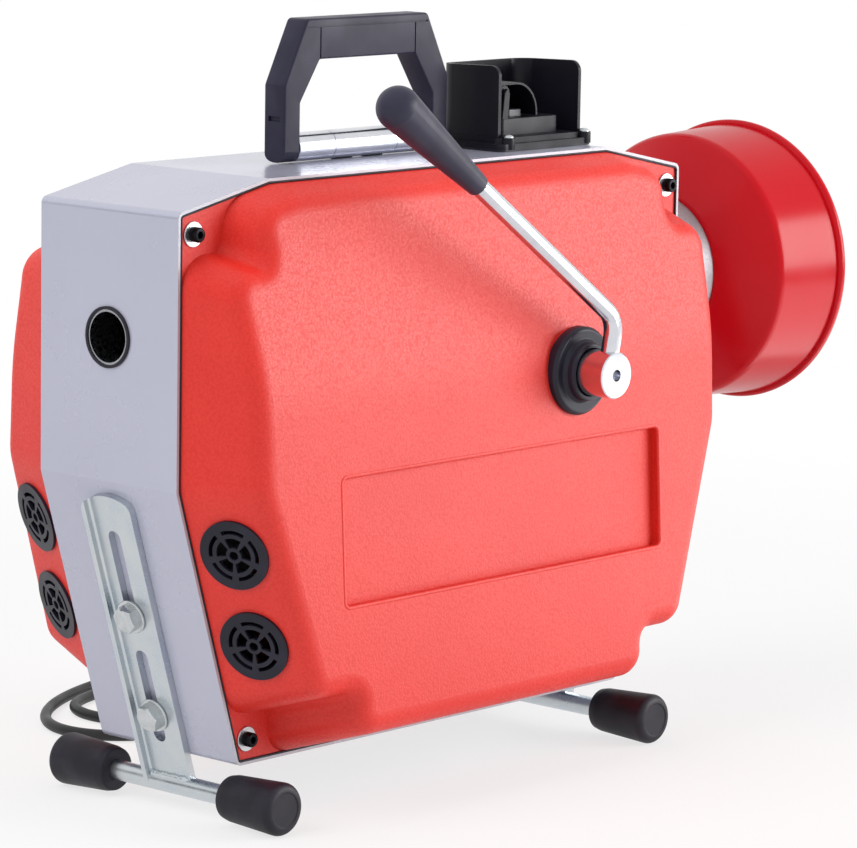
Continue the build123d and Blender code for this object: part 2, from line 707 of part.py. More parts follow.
def plate_body(x):
    """Upright plate across the band with a bearing seat and lightening windows."""
    points = inset(band_outline(), SHEET + PRESS_GAP)
    half = COVER_BACK - TAB_SHEET - PLATE_MARGIN
    across = block((x - BEARING_PLATE, x), (-half, half), (0, 2 * TOP_Z))
    plate = across & slab_xz(points, [0] * len(points), -SIDE, SIDE)
    through = (x - BEARING_PLATE - PAST, x + PAST)
    plate -= rod_x(BEARING_RADIUS + PRESS_GAP, *through)
    width, height = PLATE_WINDOW
    middle = BASE_Z + PLATE_WINDOW_RISE
    return plate - block(through, (-width / 2, width / 2), (middle - height / 2, middle + height / 2))


def bearing(x):
    """Ball bearing of the spindle, drawn as its two rings joined by the cage."""
    start = x - BEARING_PLATE / 2 - BEARING_WIDTH / 2
    middle = (SPINDLE_RADIUS + BEARING_RADIUS) / 2
    width, depth = BEARING_GROOVE
    ring = ring_x(SPINDLE_RADIUS + RUNNING_FIT, BEARING_RADIUS, start, start + BEARING_WIDTH)
    for face in (start, start + BEARING_WIDTH):
        ring -= ring_x(middle - width / 2, middle + width / 2, face - depth, face + depth)
    return ring


def rear_bearing_plate():
    """Plate that carries the rear bearing and the motor."""
    plate = plate_body(REAR_PLATE_X)
    hole = (REAR_PLATE_X - BEARING_PLATE - PAST, REAR_PLATE_X + PAST)
    return plate - rod_x(MOTOR_SHAFT_RADIUS + SHAFT_HOLE_GAP, *hole, z=MOTOR_HEIGHT)


def front_bearing_bracket():
    """Plate that carries the front bearing, with two ears for the lever shaft."""
    bracket = plate_body(FRONT_PLATE_X)
    for side in (-1, 1):
        y = sorted((side * EAR_INNER, side * (EAR_INNER + EAR_SHEET)))
        ear = block((FRONT_PLATE_X, LEVER_X), y, (LEVER_HEIGHT - EAR_REACH, LEVER_HEIGHT + EAR_REACH))
        ear += rod_y(EAR_REACH, *y, LEVER_X, LEVER_HEIGHT)
        through = (y[0] - PAST, y[1] + PAST)
        bracket += ear - rod_y(LEVER_SHAFT_RADIUS + RUNNING_FIT, *through, LEVER_X, LEVER_HEIGHT)
    return bracket


def jaw_angles():
    """Angles of the clamp jaws about the spindle."""
    return [90 + 360 / JAW_COUNT * jaw for jaw in range(JAW_COUNT)]


def spindle_tube():
    """Hollow spindle with a slot for each jaw."""
    tube = ring_x(SPINDLE_BORE_RADIUS, SPINDLE_RADIUS, SPINDLE_REAR, SPINDLE_FRONT)
    half = JAW_WIDTH / 2 + RUNNING_FIT * 2
    x = (JAW_REAR - JAW_CLEARANCE, JAW_REAR + JAW_LENGTH + JAW_CLEARANCE)
    for angle in jaw_angles():
        slot = block(x, (0, SPINDLE_RADIUS + PAST), (-half, half))
        tube -= Pos(0, 0, AXIS_HEIGHT) * Rot(angle, 0, 0) * slot
    return tube


def clamp_jaw(angle):
    """Jaw in its spindle slot, with an outer face that lies along the bell's taper."""
    front = JAW_REAR + JAW_LENGTH
    low = SPINDLE_BORE_RADIUS + JAW_CLEARANCE
    slim = JAW_TOP_RADIUS - JAW_SLOPE * JAW_LENGTH
    points = [(JAW_REAR, low), (JAW_REAR, JAW_TOP_RADIUS), (front, slim), (front, low)]
    face = make_face(Polyline(*[(x, radius, -JAW_WIDTH / 2) for x, radius in points], close=True))
    return Pos(0, 0, AXIS_HEIGHT) * Rot(angle, 0, 0) * extrude(face, JAW_WIDTH, dir=(0, 0, 1))


def clamp_sleeve():
    """Sliding sleeve: a groove for the fork at the rear and a tapered bell over the jaws."""
    groove = FORK_PIN_RADIUS + FORK_GROOVE_GAP
    rear = FORK_PIN_X - groove - SLEEVE_FLANGE
    front = FORK_PIN_X + groove + SLEEVE_FLANGE
    bore = SPINDLE_RADIUS + RUNNING_FIT
    over = math.hypot(JAW_TOP_RADIUS, JAW_WIDTH / 2) + JAW_CLEARANCE
    mouth = over + JAW_SLOPE * (JAW_REAR - BELL_REAR - SLEEVE_FLANGE)
    far = over - JAW_SLOPE * (BELL_FRONT - JAW_REAR)
    return turned_x([
        (rear, bore), (rear, SLEEVE_FLANGE_RADIUS), (rear + SLEEVE_FLANGE, SLEEVE_FLANGE_RADIUS),
        (rear + SLEEVE_FLANGE, SLEEVE_RADIUS), (FORK_PIN_X + groove, SLEEVE_RADIUS),
        (FORK_PIN_X + groove, SLEEVE_FLANGE_RADIUS), (front, SLEEVE_FLANGE_RADIUS),
        (front, SLEEVE_RADIUS), (BELL_REAR, SLEEVE_RADIUS),
        (BELL_REAR, BELL_RADIUS), (BELL_FRONT, BELL_RADIUS), (BELL_FRONT, far),
        (BELL_REAR + SLEEVE_FLANGE, mouth), (BELL_REAR + SLEEVE_FLANGE, bore),
    ])


def front_collar():
    """Collar bolted on the front of the band, which carries the splash bowl."""
    step = HALF + COLLAR_FLANGE
    waist = HALF + COLLAR_LENGTH / 2
    floor = COLLAR_RADIUS - COLLAR_GROOVE
    return turned_x([
        (HALF, COLLAR_BORE_RADIUS), (HALF, COLLAR_FLANGE_RADIUS), (step, COLLAR_FLANGE_RADIUS),
        (step, COLLAR_RADIUS), (waist, COLLAR_RADIUS), (waist, floor),
        (waist + COLLAR_GROOVE, floor), (waist + COLLAR_GROOVE, COLLAR_RADIUS),
        (COLLAR_FRONT, COLLAR_RADIUS), (COLLAR_FRONT, COLLAR_BORE_RADIUS),
    ])


def splash_bowl():
    """Spun bowl: flat back, cone, slightly flared wall and a stepped lip."""
    cone = BOWL_REAR + BOWL_CONE
    wall = cone + BOWL_DEPTH
    t = BOWL_SHEET
    return turned_x([
        (BOWL_REAR, COLLAR_BORE_RADIUS), (BOWL_REAR, COLLAR_RADIUS + t), (cone - t, BOWL_BACK_RADIUS - t),
        (cone + t, BOWL_BACK_RADIUS), (wall, BOWL_MOUTH_RADIUS), (wall + BOWL_FLARE, BOWL_LIP_RADIUS),
        (BOWL_FRONT - t / 2, BOWL_LIP_RADIUS), (BOWL_FRONT, BOWL_LIP_RADIUS - t / 2),
        (BOWL_FRONT, BOWL_LIP_RADIUS - t), (wall + BOWL_FLARE + t / 2, BOWL_LIP_RADIUS - t),
        (wall + t / 2, BOWL_MOUTH_RADIUS - t), (cone + 2 * t, BOWL_BACK_RADIUS - t),
        (cone + t / 2, BOWL_BACK_RADIUS - 2 * t), (BOWL_REAR + t, COLLAR_RADIUS),
        (BOWL_REAR + t, COLLAR_BORE_RADIUS),
    ])


def pan_head():
    """Head of a pan screw, standing on local Z = 0."""
    crown = BASE_SCREW_RADIUS / 2
    return turned([
        (0, 0), (0, BASE_SCREW_RADIUS), (BASE_SCREW_HEAD / 2, BASE_SCREW_RADIUS),
        (BASE_SCREW_HEAD, crown), (BASE_SCREW_HEAD, 0),
    ])


def bowl_screws():
    """Dome headed screws that hold the bowl on the collar."""
    radius = (COLLAR_RADIUS + COLLAR_BORE_RADIUS) / 2
    front = BOWL_REAR + BOWL_SHEET
    screws = []
    for step in range(BOWL_SCREWS):
        angle = math.radians(BOWL_SCREW_TURN + 360 / BOWL_SCREWS * step)
        y, z = radius * math.cos(angle), AXIS_HEIGHT + radius * math.sin(angle)
        screws.append(Pos(front, y, z) * Rot(0, 90, 0) * pan_head())
    return screws


# Gear drive and motor

def involute(angle):
    """Involute function of a pressure angle."""
    return math.tan(angle) - angle


def gear(teeth, bore, start, end, turn, z):
    """Spur gear along X with involute flanks, one tooth centred at the turn angle."""
    pitch = GEAR_MODULE * teeth / 2
    base = pitch * math.cos(math.radians(PRESSURE_ANGLE))
    half_tooth = math.pi / 2 / teeth - GEAR_BACKLASH / 4 / pitch
    radii = [pitch - DEDENDUM_SHARE * GEAR_MODULE, pitch, pitch + GEAR_MODULE]
    flank = []
    for radius in radii:
        pressure = math.acos(min(1, base / radius))
        lean = half_tooth + involute(math.radians(PRESSURE_ANGLE)) - involute(pressure)
        flank.append((radius, lean))
    points = []
    for tooth in range(teeth):
        middle = math.radians(turn) + 2 * math.pi * tooth / teeth
        sides = [(radius, middle - lean) for radius, lean in flank]
        sides += [(radius, middle + lean) for radius, lean in reversed(flank)]
        points += [(start, radius * math.cos(a), z + radius * math.sin(a)) for radius, a in sides]
    wheel = extrude(make_face(Polyline(*points, close=True)), end - start, dir=(1, 0, 0))
    return wheel - rod_x(bore, start - PAST, end + PAST, z=z)


def spindle_gear():
    """Large gear on the spindle, with a tooth space straight below the axis."""
    turn = -90 + 180 / GEAR_TEETH
    wheel = gear(GEAR_TEETH, SPINDLE_RADIUS + PRESS_GAP, GEAR_REAR, GEAR_FRONT, turn, AXIS_HEIGHT)
    web = GEAR_WIDTH / 4
    inner, outer = SPINDLE_RADIUS + GEAR_HUB, GEAR_RADIUS - GEAR_RIM
    wheel -= ring_x(inner, outer, GEAR_FRONT - web, GEAR_FRONT + PAST)
    return wheel - ring_x(inner, outer, GEAR_REAR - PAST, GEAR_REAR + web)


def motor_pinion():
    """Pinion on the motor shaft, with a tooth straight above its axis."""
    return gear(PINION_TEETH, MOTOR_SHAFT_RADIUS + PRESS_GAP, GEAR_REAR, GEAR_FRONT, 90, MOTOR_HEIGHT)


def motor_housing():
    """Motor with cooling fins along its barrel, flanged on the rear plate."""
    end = REAR_PLATE_X + MOTOR_LENGTH
    body = rod_x(MOTOR_RADIUS, REAR_PLATE_X, end, z=MOTOR_HEIGHT)
    length = (REAR_PLATE_X + MOTOR_FLANGE, end - MOTOR_FLANGE)
    for fin in range(MOTOR_FINS):
        depth = (MOTOR_RADIUS - MOTOR_FIN_DEPTH, MOTOR_RADIUS + PAST)
        groove = block(length, depth, (-MOTOR_FIN_WIDTH / 2, MOTOR_FIN_WIDTH / 2))
        body -= Pos(0, 0, MOTOR_HEIGHT) * Rot(360 / MOTOR_FINS * fin, 0, 0) * groove
    return body - rod_x(MOTOR_SHAFT_RADIUS + RUNNING_FIT, REAR_PLATE_X - PAST, end + PAST, z=MOTOR_HEIGHT)


def motor_shaft():
    """Rotor shaft through the motor."""
    end = REAR_PLATE_X + MOTOR_LENGTH + FAN_GAP + FAN_WIDTH
    return rod_x(MOTOR_SHAFT_RADIUS, GEAR_REAR - SHAFT_END, end + SHAFT_END, z=MOTOR_HEIGHT)


def motor_fan():
    """Cooling fan on the motor's free end."""
    start = REAR_PLATE_X + MOTOR_LENGTH + FAN_GAP
    end = start + FAN_WIDTH
    fan = rod_x(FAN_HUB_RADIUS, start, end, z=MOTOR_HEIGHT)
    fan += rod_x(FAN_RADIUS, end - FAN_BLADE_SHEET, end, z=MOTOR_HEIGHT)
    for blade in range(FAN_BLADES):
        reach = (FAN_HUB_RADIUS - PAST, FAN_RADIUS - PAST)
        vane = block((start, end), reach, (-FAN_BLADE_SHEET / 2, FAN_BLADE_SHEET / 2))
        fan += Pos(0, 0, MOTOR_HEIGHT) * Rot(360 / FAN_BLADES * blade, 0, 0) * vane
    return fan - rod_x(MOTOR_SHAFT_RADIUS + PRESS_GAP, start - PAST, end + PAST, z=MOTOR_HEIGHT)


# Hand lever

def lever_shaft():
    """Shaft from the hub, through the near cover and both ears, to the return spring."""
    end = EAR_INNER + EAR_SHEET + 2 * SIDE_CLEARANCE + SPRING_TURNS * SPRING_PITCH + 2 * SPRING_WIRE
    shaft = rod_y(LEVER_SHAFT_RADIUS, -HUB_FACE + HUB_LENGTH / 2, end, LEVER_X, LEVER_HEIGHT)
    return shaft + rod_y(SHAFT_COLLAR_RADIUS, end, end + SHAFT_COLLAR, LEVER_X, LEVER_HEIGHT)


def lever_return_spring():
    """Torsion spring round the lever shaft, beside the far ear."""
    start = EAR_INNER + EAR_SHEET + SIDE_CLEARANCE + SPRING_WIRE
    radius = LEVER_SHAFT_RADIUS + SPRING_WIRE + SIDE_CLEARANCE
    centre = (LEVER_X, start, LEVER_HEIGHT)
    path = Helix(SPRING_PITCH, SPRING_PITCH * SPRING_TURNS, radius, center=centre, direction=(0, 1, 0))
    section = Plane(origin=path @ 0, z_dir=path % 0) * Circle(SPRING_WIRE)
    return sweep(section, path=path, is_frenet=True)


def lever_fork():
    """Two arms on the shaft, each with a pin in the sleeve's groove."""
    arms = []
    for side in (-1, 1):
        y = sorted((side * FORK_INNER, side * (FORK_INNER + FORK_ARM)))
        arm = rod_y(FORK_BOSS_RADIUS, *y, LEVER_X, LEVER_HEIGHT)
        arm += rod_y(2 * FORK_PIN_RADIUS, *y, FORK_PIN_X, AXIS_HEIGHT)
        lean = math.hypot(FORK_LEAN, FORK_RISE)
        web = block((-FORK_PIN_RADIUS * 2, FORK_PIN_RADIUS * 2), y, (0, lean))
        arm += Pos(LEVER_X, 0, LEVER_HEIGHT) * Rot(0, LEVER_SWING / 2, 0) * web
        pin = sorted((side * FORK_PIN_TIP, side * (FORK_INNER + PAST)))
        arm += rod_y(FORK_PIN_RADIUS, *pin, FORK_PIN_X, AXIS_HEIGHT)
        through = (y[0] - PAST, y[1] + PAST)
        arms.append(arm - rod_y(LEVER_SHAFT_RADIUS + PRESS_GAP, *through, LEVER_X, LEVER_HEIGHT))
    return arms


def lever_hub():
    """Turned hub with a tapped hole in its end."""
    hub = rod_y(HUB_RADIUS, -HUB_FACE, -HUB_FACE + HUB_LENGTH, LEVER_X, LEVER_HEIGHT)
    hub = chamfer(hub.faces().sort_by(Axis.Y)[0].edges(), HUB_EDGE)
    seat = (-HUB_FACE + HUB_LENGTH / 2, -HUB_FACE + HUB_LENGTH + PAST)
    hub -= rod_y(LEVER_SHAFT_RADIUS + PRESS_GAP, *seat, LEVER_X, LEVER_HEIGHT)
    hub -= rod_y(HUB_TAP_RADIUS, -HUB_FACE - PAST, -HUB_FACE + HUB_TAP_DEPTH, LEVER_X, LEVER_HEIGHT)
    return hub - Pos(LEVER_X, -LEVER_PLANE, LEVER_HEIGHT) * Rot(0, LEVER_NECK_ANGLE, 0) * lever_socket()


def lever_socket():
    """Hole for the rod in the top of the hub, along local Z."""
    return rod_z(LEVER_ROD_RADIUS + PRESS_GAP, HUB_RADIUS - LEVER_SEAT, HUB_RADIUS + LEVER_SEAT, 0, 0)


def lever_points():
    """Hub seat, bend, grip root and rod end of the lever, as points in its plane."""
    lean, rise = math.radians(LEVER_NECK_ANGLE), math.radians(LEVER_RISE_ANGLE)
    centre = Vector(LEVER_X, -LEVER_PLANE, LEVER_HEIGHT)
    up = Vector(math.sin(lean), 0, math.cos(lean))
    bend = centre + up * LEVER_NECK
    along = Vector(-math.cos(rise), 0, math.sin(rise))
    return centre + up * (HUB_RADIUS - LEVER_SEAT), bend, bend + along * LEVER_RUN, along


def lever_rod():
    """Bent round bar from the hub into the grip."""
    seat, bend, root, along = lever_points()
    end = root + along * (GRIP_LENGTH / 2)
    path = FilletPolyline(seat, bend, end, radius=LEVER_BEND_RADIUS)
    section = Plane(origin=seat, z_dir=bend - seat) * Circle(LEVER_ROD_RADIUS)
    return sweep(section, path=path)


def lever_grip():
    """Teardrop grip, slim at the rod and fat at its rounded tip, with a parting ridge."""
    root, along = lever_points()[2:]
    tip = GRIP_LENGTH - GRIP_TIP_RADIUS
    belly = Line((0, GRIP_ROOT_RADIUS), (tip, GRIP_TIP_RADIUS))
    nose = ThreePointArc(
        (tip, GRIP_TIP_RADIUS),
        (tip + GRIP_TIP_RADIUS * math.sin(math.pi / 4), GRIP_TIP_RADIUS * math.cos(math.pi / 4)),
        (GRIP_LENGTH, 0),
    )
    face = make_face([belly, nose, Line((GRIP_LENGTH, 0), (0, 0)), Line((0, 0), (0, GRIP_ROOT_RADIUS))])
    body = revolve(face, Axis.X)
    ridge = block((GRIP_RIDGE_START, tip), (-GRIP_RIDGE, GRIP_RIDGE), (0, GRIP_ROOT_RADIUS + GRIP_RIDGE))
    slope = math.degrees(math.atan2(GRIP_TIP_RADIUS - GRIP_ROOT_RADIUS, tip))
    body += Rot(0, -slope, 0) * ridge
    body -= Rot(0, 90, 0) * rod_z(LEVER_ROD_RADIUS + PRESS_GAP, -1, GRIP_LENGTH / 2 + SIDE_CLEARANCE, 0, 0)
    return Plane(origin=root, x_dir=along, z_dir=Vector(0, 1, 0).cross(along)).location * body


def lever_seal():
    """Stepped rubber seal round the lever shaft, pressed into the near cover."""
    bore, cup = LEVER_SHAFT_RADIUS + SIDE_CLEARANCE, HUB_RADIUS + SIDE_CLEARANCE
    floor = HUB_STAND - SIDE_CLEARANCE
    bead = SEAL_HEIGHT / 2
    profile = [
        (-2 * COVER_WALL, bore), (-2 * COVER_WALL, SEAL_NECK_RADIUS), (0, SEAL_NECK_RADIUS), (0, SEAL_RADIUS),
        (bead, SEAL_RADIUS), (SEAL_HEIGHT, SEAL_RADIUS - bead), (SEAL_HEIGHT, SEAL_STEP_RADIUS + bead),
        (bead, SEAL_STEP_RADIUS), (SEAL_STEP_HEIGHT - SEAL_EDGE, SEAL_STEP_RADIUS),
        (SEAL_STEP_HEIGHT, SEAL_STEP_RADIUS - SEAL_EDGE), (SEAL_STEP_HEIGHT, cup),
        (floor, cup), (floor, bore),
    ]
    return Pos(LEVER_X, -DOME_FACE, LEVER_HEIGHT) * Rot(90, 0, 0) * turned(profile)


# Carrying handle

def handle():
    """Angular arch with lugs on the tube and a grooved grip bar."""
    half = HANDLE_LENGTH / 2
    inner = half - HANDLE_LEG
    low, top = TUBE_Z - HANDLE_WIDTH / 2, TUBE_Z + HANDLE_HEIGHT
    under, line = top - HANDLE_BAR, top - GRIP_GROOVE_DROP
    right = [
        (half - HANDLE_SLANT, top), (half, TUBE_Z + HANDLE_KNEE), (half, low), (inner, low),
        (inner, TUBE_Z + HANDLE_INNER_KNEE), (inner - HANDLE_INNER_SLANT, under),
    ]
    points = [(HANDLE_X + x, z) for x, z in mirrored(right)]
    top_bend, knee_bend = HANDLE_BENDS
    bends = [top_bend, knee_bend, 0, 0, knee_bend, top_bend]
    arch = slab_xz(points, bends * 2, -HANDLE_WIDTH / 2, HANDLE_WIDTH / 2)
    feet = arch.edges().filter_by(Axis.X).group_by(Axis.Z)[0]
    arch = fillet(feet, (HANDLE_WIDTH - LUG_FLAT) / 2)
    for side in (-1, 1):
        face = side * HANDLE_WIDTH / 2
        skin = sorted((face, face - side * GRIP_GROOVE_DEPTH))
        for end in (-1, 1):
            x = HANDLE_X + end * (inner - HANDLE_INNER_SLANT)
            arch -= block((x - GRIP_GROOVE, x + GRIP_GROOVE), skin, (under - PAST, line))
        band = (HANDLE_X - half + HANDLE_SLANT, HANDLE_X + half - HANDLE_SLANT)
        arch -= block(band, skin, (line - GRIP_GROOVE, line))
    reach = inner + TUBE_PIN + SIDE_CLEARANCE
    return arch - rod_x(TUBE_PIN_RADIUS + RUNNING_FIT, HANDLE_X - reach, HANDLE_X + reach, z=TUBE_Z)


def handle_tube():
    """Plated tube on two saddles, with a pin at each end for the handle's lugs."""
    end = HANDLE_LENGTH / 2 - HANDLE_LEG - SIDE_CLEARANCE
    ring = end - TUBE_RING
    edge = ring + 2 * TUBE_GROOVE
    floor = TUBE_RADIUS - TUBE_GROOVE
    half = [
        (ring, TUBE_RADIUS), (ring, floor), (edge, floor), (edge, TUBE_RADIUS),
        (end, TUBE_RADIUS), (end, TUBE_PIN_RADIUS), (end + TUBE_PIN, TUBE_PIN_RADIUS), (end + TUBE_PIN, 0),
    ]
    profile = [(-x, r) for x, r in reversed(half)] + half
    tube = Pos(HANDLE_X, 0, TUBE_Z) * Rot(0, 90, 0) * turned(profile)
    for side in (-1, 1):
        x = HANDLE_X + side * ring / 2
        along = (x - SADDLE_LENGTH / 2, x + SADDLE_LENGTH / 2)
        tube += block(along, (-SADDLE_WIDTH / 2, SADDLE_WIDTH / 2), (TOP_Z, TUBE_Z - TUBE_RADIUS / 2))
    return tube


# Switch

def switch_rect(size, height, start, radius):
    """Rounded plate centred on the switch."""
    face = RectangleRounded(size[0], size[1], radius)
    return Pos(SWITCH_X, SWITCH_Y, start) * extrude(face, height)


def switch_gasket():
    """Rubber sheet between the switch base and the band."""
    return switch_rect(SWITCH_BASE, GASKET, TOP_Z, BASE_CORNER)


def lug_places():
    """Centres of the screw lugs in the corners of the switch base."""
    return [(SWITCH_X + x, SWITCH_Y + side * BASE_LUG_REACH) for x in BASE_LUGS for side in (-1, 1)]


def switch_base():
    """Two-step base of the switch with a screw lug in each corner."""
    upper = [size - 2 * BASE_STEP_INSET for size in SWITCH_BASE]
    base = switch_rect(SWITCH_BASE, BASE_STEP, TOP_Z + GASKET, BASE_CORNER)
    base += switch_rect(upper, BASE_STEP, STEP_Z, BASE_CORNER)
    for x, y in lug_places():
        base += rod_z(BASE_LUG_RADIUS, TOP_Z + GASKET, GUARD_Z, x, y)
    return base


def guard_plan(shrink):
    """Guard outline in plan, square at its open near side and round at the far corners."""
    half = GUARD_SIZE[0] / 2 - shrink
    near, far = SWITCH_Y - GUARD_SIZE[1] / 2, SWITCH_Y + GUARD_SIZE[1] / 2 - shrink
    start = near if shrink == 0 else near - PAST
    corner = GUARD_CORNER - shrink
    rear, front = SWITCH_X - half, SWITCH_X + half
    points = [(rear, start, 0), (rear, far, 0), (front, far, 0), (front, start, 0)]
    return make_face(FilletPolyline(*points, radius=[0, corner, corner, 0], close=True))


def switch_guard():
    """Three-sided guard round the switch, open towards the lever side, its rim falling away from it."""
    walls = Pos(0, 0, GUARD_Z) * extrude(guard_plan(0) - guard_plan(GUARD_WALL), GUARD_HEIGHT)
    near, far = SWITCH_Y - GUARD_SIZE[1] / 2, SWITCH_Y + GUARD_SIZE[1] / 2
    high = GUARD_Z + GUARD_HEIGHT
    rear = SWITCH_X - GUARD_SIZE[0] / 2
    side = [(near, GUARD_Z), (near, high), (far, high - GUARD_FALL), (far, GUARD_Z)]
    face = make_face(Polyline(*[(rear, y, z) for y, z in side], close=True))
    walls = walls & extrude(face, GUARD_SIZE[0], dir=(1, 0, 0))
    lips = walls.faces().sort_by(Axis.Y)[:2]
    tops = [face.edges().sort_by(Axis.Z)[-1] for face in lips]
    return fillet(tops, GUARD_LIP_RADIUS)


def button_places():
    """Centres of the two buttons, rear first, as X values."""
    first = SWITCH_X - SWITCH_BLOCK[0] / 2 + BUTTON_START
    return [first, first + BUTTON_PITCH]


def switch_body():
    """Switch block with a well for each button and two ears for the flap."""
    length, width, height = SWITCH_BLOCK
    body = switch_rect((length, width), height, GUARD_Z, BLOCK_CORNER)
    for x in button_places():
        along, across = [size / 2 + BUTTON_GAP for size in BUTTON_SIZE]
        depth = BUTTON_DEPTH + BUTTON_TRAVEL + BUTTON_GAP
        y = (SWITCH_Y - across, SWITCH_Y + across)
        body -= block((x - along, x + along), y, (BLOCK_Z - depth, BLOCK_Z + PAST))
    for side in (-1, 1):
        y = sorted((SWITCH_Y + side * (FLAP_WIDTH / 2 + SIDE_CLEARANCE), SWITCH_Y + side * width / 2))
        ear = block((flap_x() - FLAP_EAR, flap_x() + FLAP_EAR), y, (BLOCK_Z, flap_z() + FLAP_EAR))
        body += ear - rod_y(FLAP_PIN_RADIUS + RUNNING_FIT, y[0] - PAST, y[1] + PAST, flap_x(), flap_z())
    return body


def button(x):
    """Push button in its well."""
    y = (SWITCH_Y - BUTTON_SIZE[1] / 2, SWITCH_Y + BUTTON_SIZE[1] / 2)
    half = BUTTON_SIZE[0] / 2
    cap = block((x - half, x + half), y, (BLOCK_Z - BUTTON_DEPTH, BLOCK_Z + BUTTON_RISE))
    return fillet(cap.faces().sort_by(Axis.Z)[-1].edges(), BUTTON_EDGE)


def flap_x():
    """X of the flap's pin, in the middle of its rear bend."""
    return SWITCH_X - SWITCH_BLOCK[0] / 2 + FLAP_BENDS[0]


def flap_z():
    """Height of the flap's pin."""
    return BLOCK_Z + FLAP_HEIGHT - FLAP_BENDS[0]


def switch_flap():
    """Arched flap over the buttons, turning on a barrel in its rear bend."""
    rear = flap_x() - FLAP_BENDS[0]
    high = BLOCK_Z + FLAP_HEIGHT
    front = rear + FLAP_LENGTH
    low = BLOCK_Z + FLAP_SHEET / 2 + SIDE_CLEARANCE
    skirt = flap_z() - FLAP_SKIRT
    arch = [(rear, skirt), (rear, high), (front - FLAP_BROW, high), (front, high - FLAP_BROW), (front, low)]
    spine = FilletPolyline(*[(px, 0, pz) for px, pz in arch], radius=FLAP_BENDS)
    hood = spine.offset_2d(FLAP_SHEET / 2, side=Side.BOTH)
    y = SWITCH_Y - FLAP_WIDTH / 2
    shell = Pos(0, y, 0) * extrude(make_face(hood), FLAP_WIDTH, dir=(0, 1, 0))
    shell += rod_y(FLAP_BENDS[0], y, y + FLAP_WIDTH, flap_x(), flap_z())
    pin = SWITCH_BLOCK[1] / 2
    return shell + rod_y(FLAP_PIN_RADIUS, SWITCH_Y - pin, SWITCH_Y + pin, flap_x(), flap_z())


def switch_screws():
    """Plated screws on the lugs of the switch base."""
    return [Pos(x, y, GUARD_Z) * pan_head() for x, y in lug_places()]


# Adjustable feet

def foot_plate(end):
    """Slotted plate on a slanted face, flanged along one side and ending on the cross rod."""
    middle = (FOOT_ROD_DROP + FOOT_TOP) / 2
    half, top = FOOT_WIDTH / 2, (FOOT_ROD_DROP - FOOT_TOP) / 2
    low, bend = top - FOOT_CROWN, half - FOOT_FLANGE_SHEET
    points = [(half, top), (-half, top), (-half, -low), (0, -top), (half, -low)]
    radii = [0, 0, FOOT_CORNER, FOOT_CROWN_RADIUS, FOOT_CORNER]
    face = make_face(FilletPolyline(*points, radius=radii, close=True))
    height = FOOT_SHEET + FOOT_FLANGE
    flange = extrude(face, height) & block((bend, half), (-top, top), (0, height))
    plate = extrude(face, FOOT_SHEET) + flange
    corner = plate.edges().filter_by(Axis.Y).sort_by_distance((bend, 0, FOOT_SHEET))[0]
    plate = fillet(corner, FOOT_FLANGE_BEND)
    plate = chamfer(plate.faces().sort_by(Axis.Z)[-1].edges(), FOOT_BEVEL)
    for slot_top in SLOT_TOPS:
        slot = SlotOverall(SLOT_LENGTH, SLOT_WIDTH, rotation=90)
        plate -= Pos(0, slot_top + SLOT_LENGTH / 2 - middle, 0) * extrude(slot, 2 * FOOT_SHEET, both=True)
    return slant_frame(end, middle, FACE_GAP).location * plate - foot_rod(end, PRESS_GAP)


def foot_rod_place(end):
    """(x, z) of a cross rod's axis."""
    return slant_point(end, FOOT_ROD_DROP, FOOT_ROD_OUT)


def foot_rod(end, growth=0.0):
    """Round cross rod under a foot plate."""
    return rod_y(FOOT_ROD_RADIUS + growth, -FOOT_ROD_LENGTH / 2, FOOT_ROD_LENGTH / 2, *foot_rod_place(end))


def foot_cap(end, side):
    """Tapered rubber cap on one end of a cross rod."""
    x, z = foot_rod_place(end)
    inner = CAP_REACH - CAP_LENGTH
    bore = FOOT_ROD_RADIUS + PRESS_GAP
    depth = FOOT_ROD_LENGTH / 2 - inner
    bend = CAP_ROUND * math.sqrt(0.5)
    belly = CAP_LENGTH - CAP_ROUND
    profile = [
        (0, bore), (0, CAP_NECK_RADIUS - CAP_EDGE), (CAP_EDGE, CAP_NECK_RADIUS), (belly, CAP_RADIUS),
        (belly + bend, CAP_RADIUS - CAP_ROUND + bend), (CAP_LENGTH, CAP_RADIUS - CAP_ROUND),
        (CAP_LENGTH, 0), (depth, 0), (depth, bore),
    ]
    return Pos(x, side * inner, z) * Rot(-90 * side, 0, 0) * turned(profile)


def foot_bolts():
    """Hex bolts with washers and nuts that clamp both feet on the band."""
    bolts = []
    seat = FACE_GAP + FOOT_SHEET + FACE_GAP
    for end in (-1, 1):
        for drop in FOOT_BOLT_DROPS:
            washer = Pos(0, 0, seat + BOLT_WASHER / 2) * Cylinder(BOLT_WASHER_RADIUS, BOLT_WASHER)
            hexagon = RegularPolygon(BOLT_HEX / 2, 6, major_radius=False)
            head = Pos(0, 0, seat + BOLT_WASHER) * extrude(hexagon, BOLT_HEAD)
            nut = Pos(0, 0, -SHEET) * extrude(hexagon, -BOLT_HEAD)
            shank = Pos(0, 0, seat / 2 - BOLT_HEAD / 2) * Cylinder(BOLT_RADIUS, seat + 2 * BOLT_HEAD)
            bolts.append(slant_frame(end, drop, 0).location * (washer + head + nut + shank))
    return bolts


# Supply cord

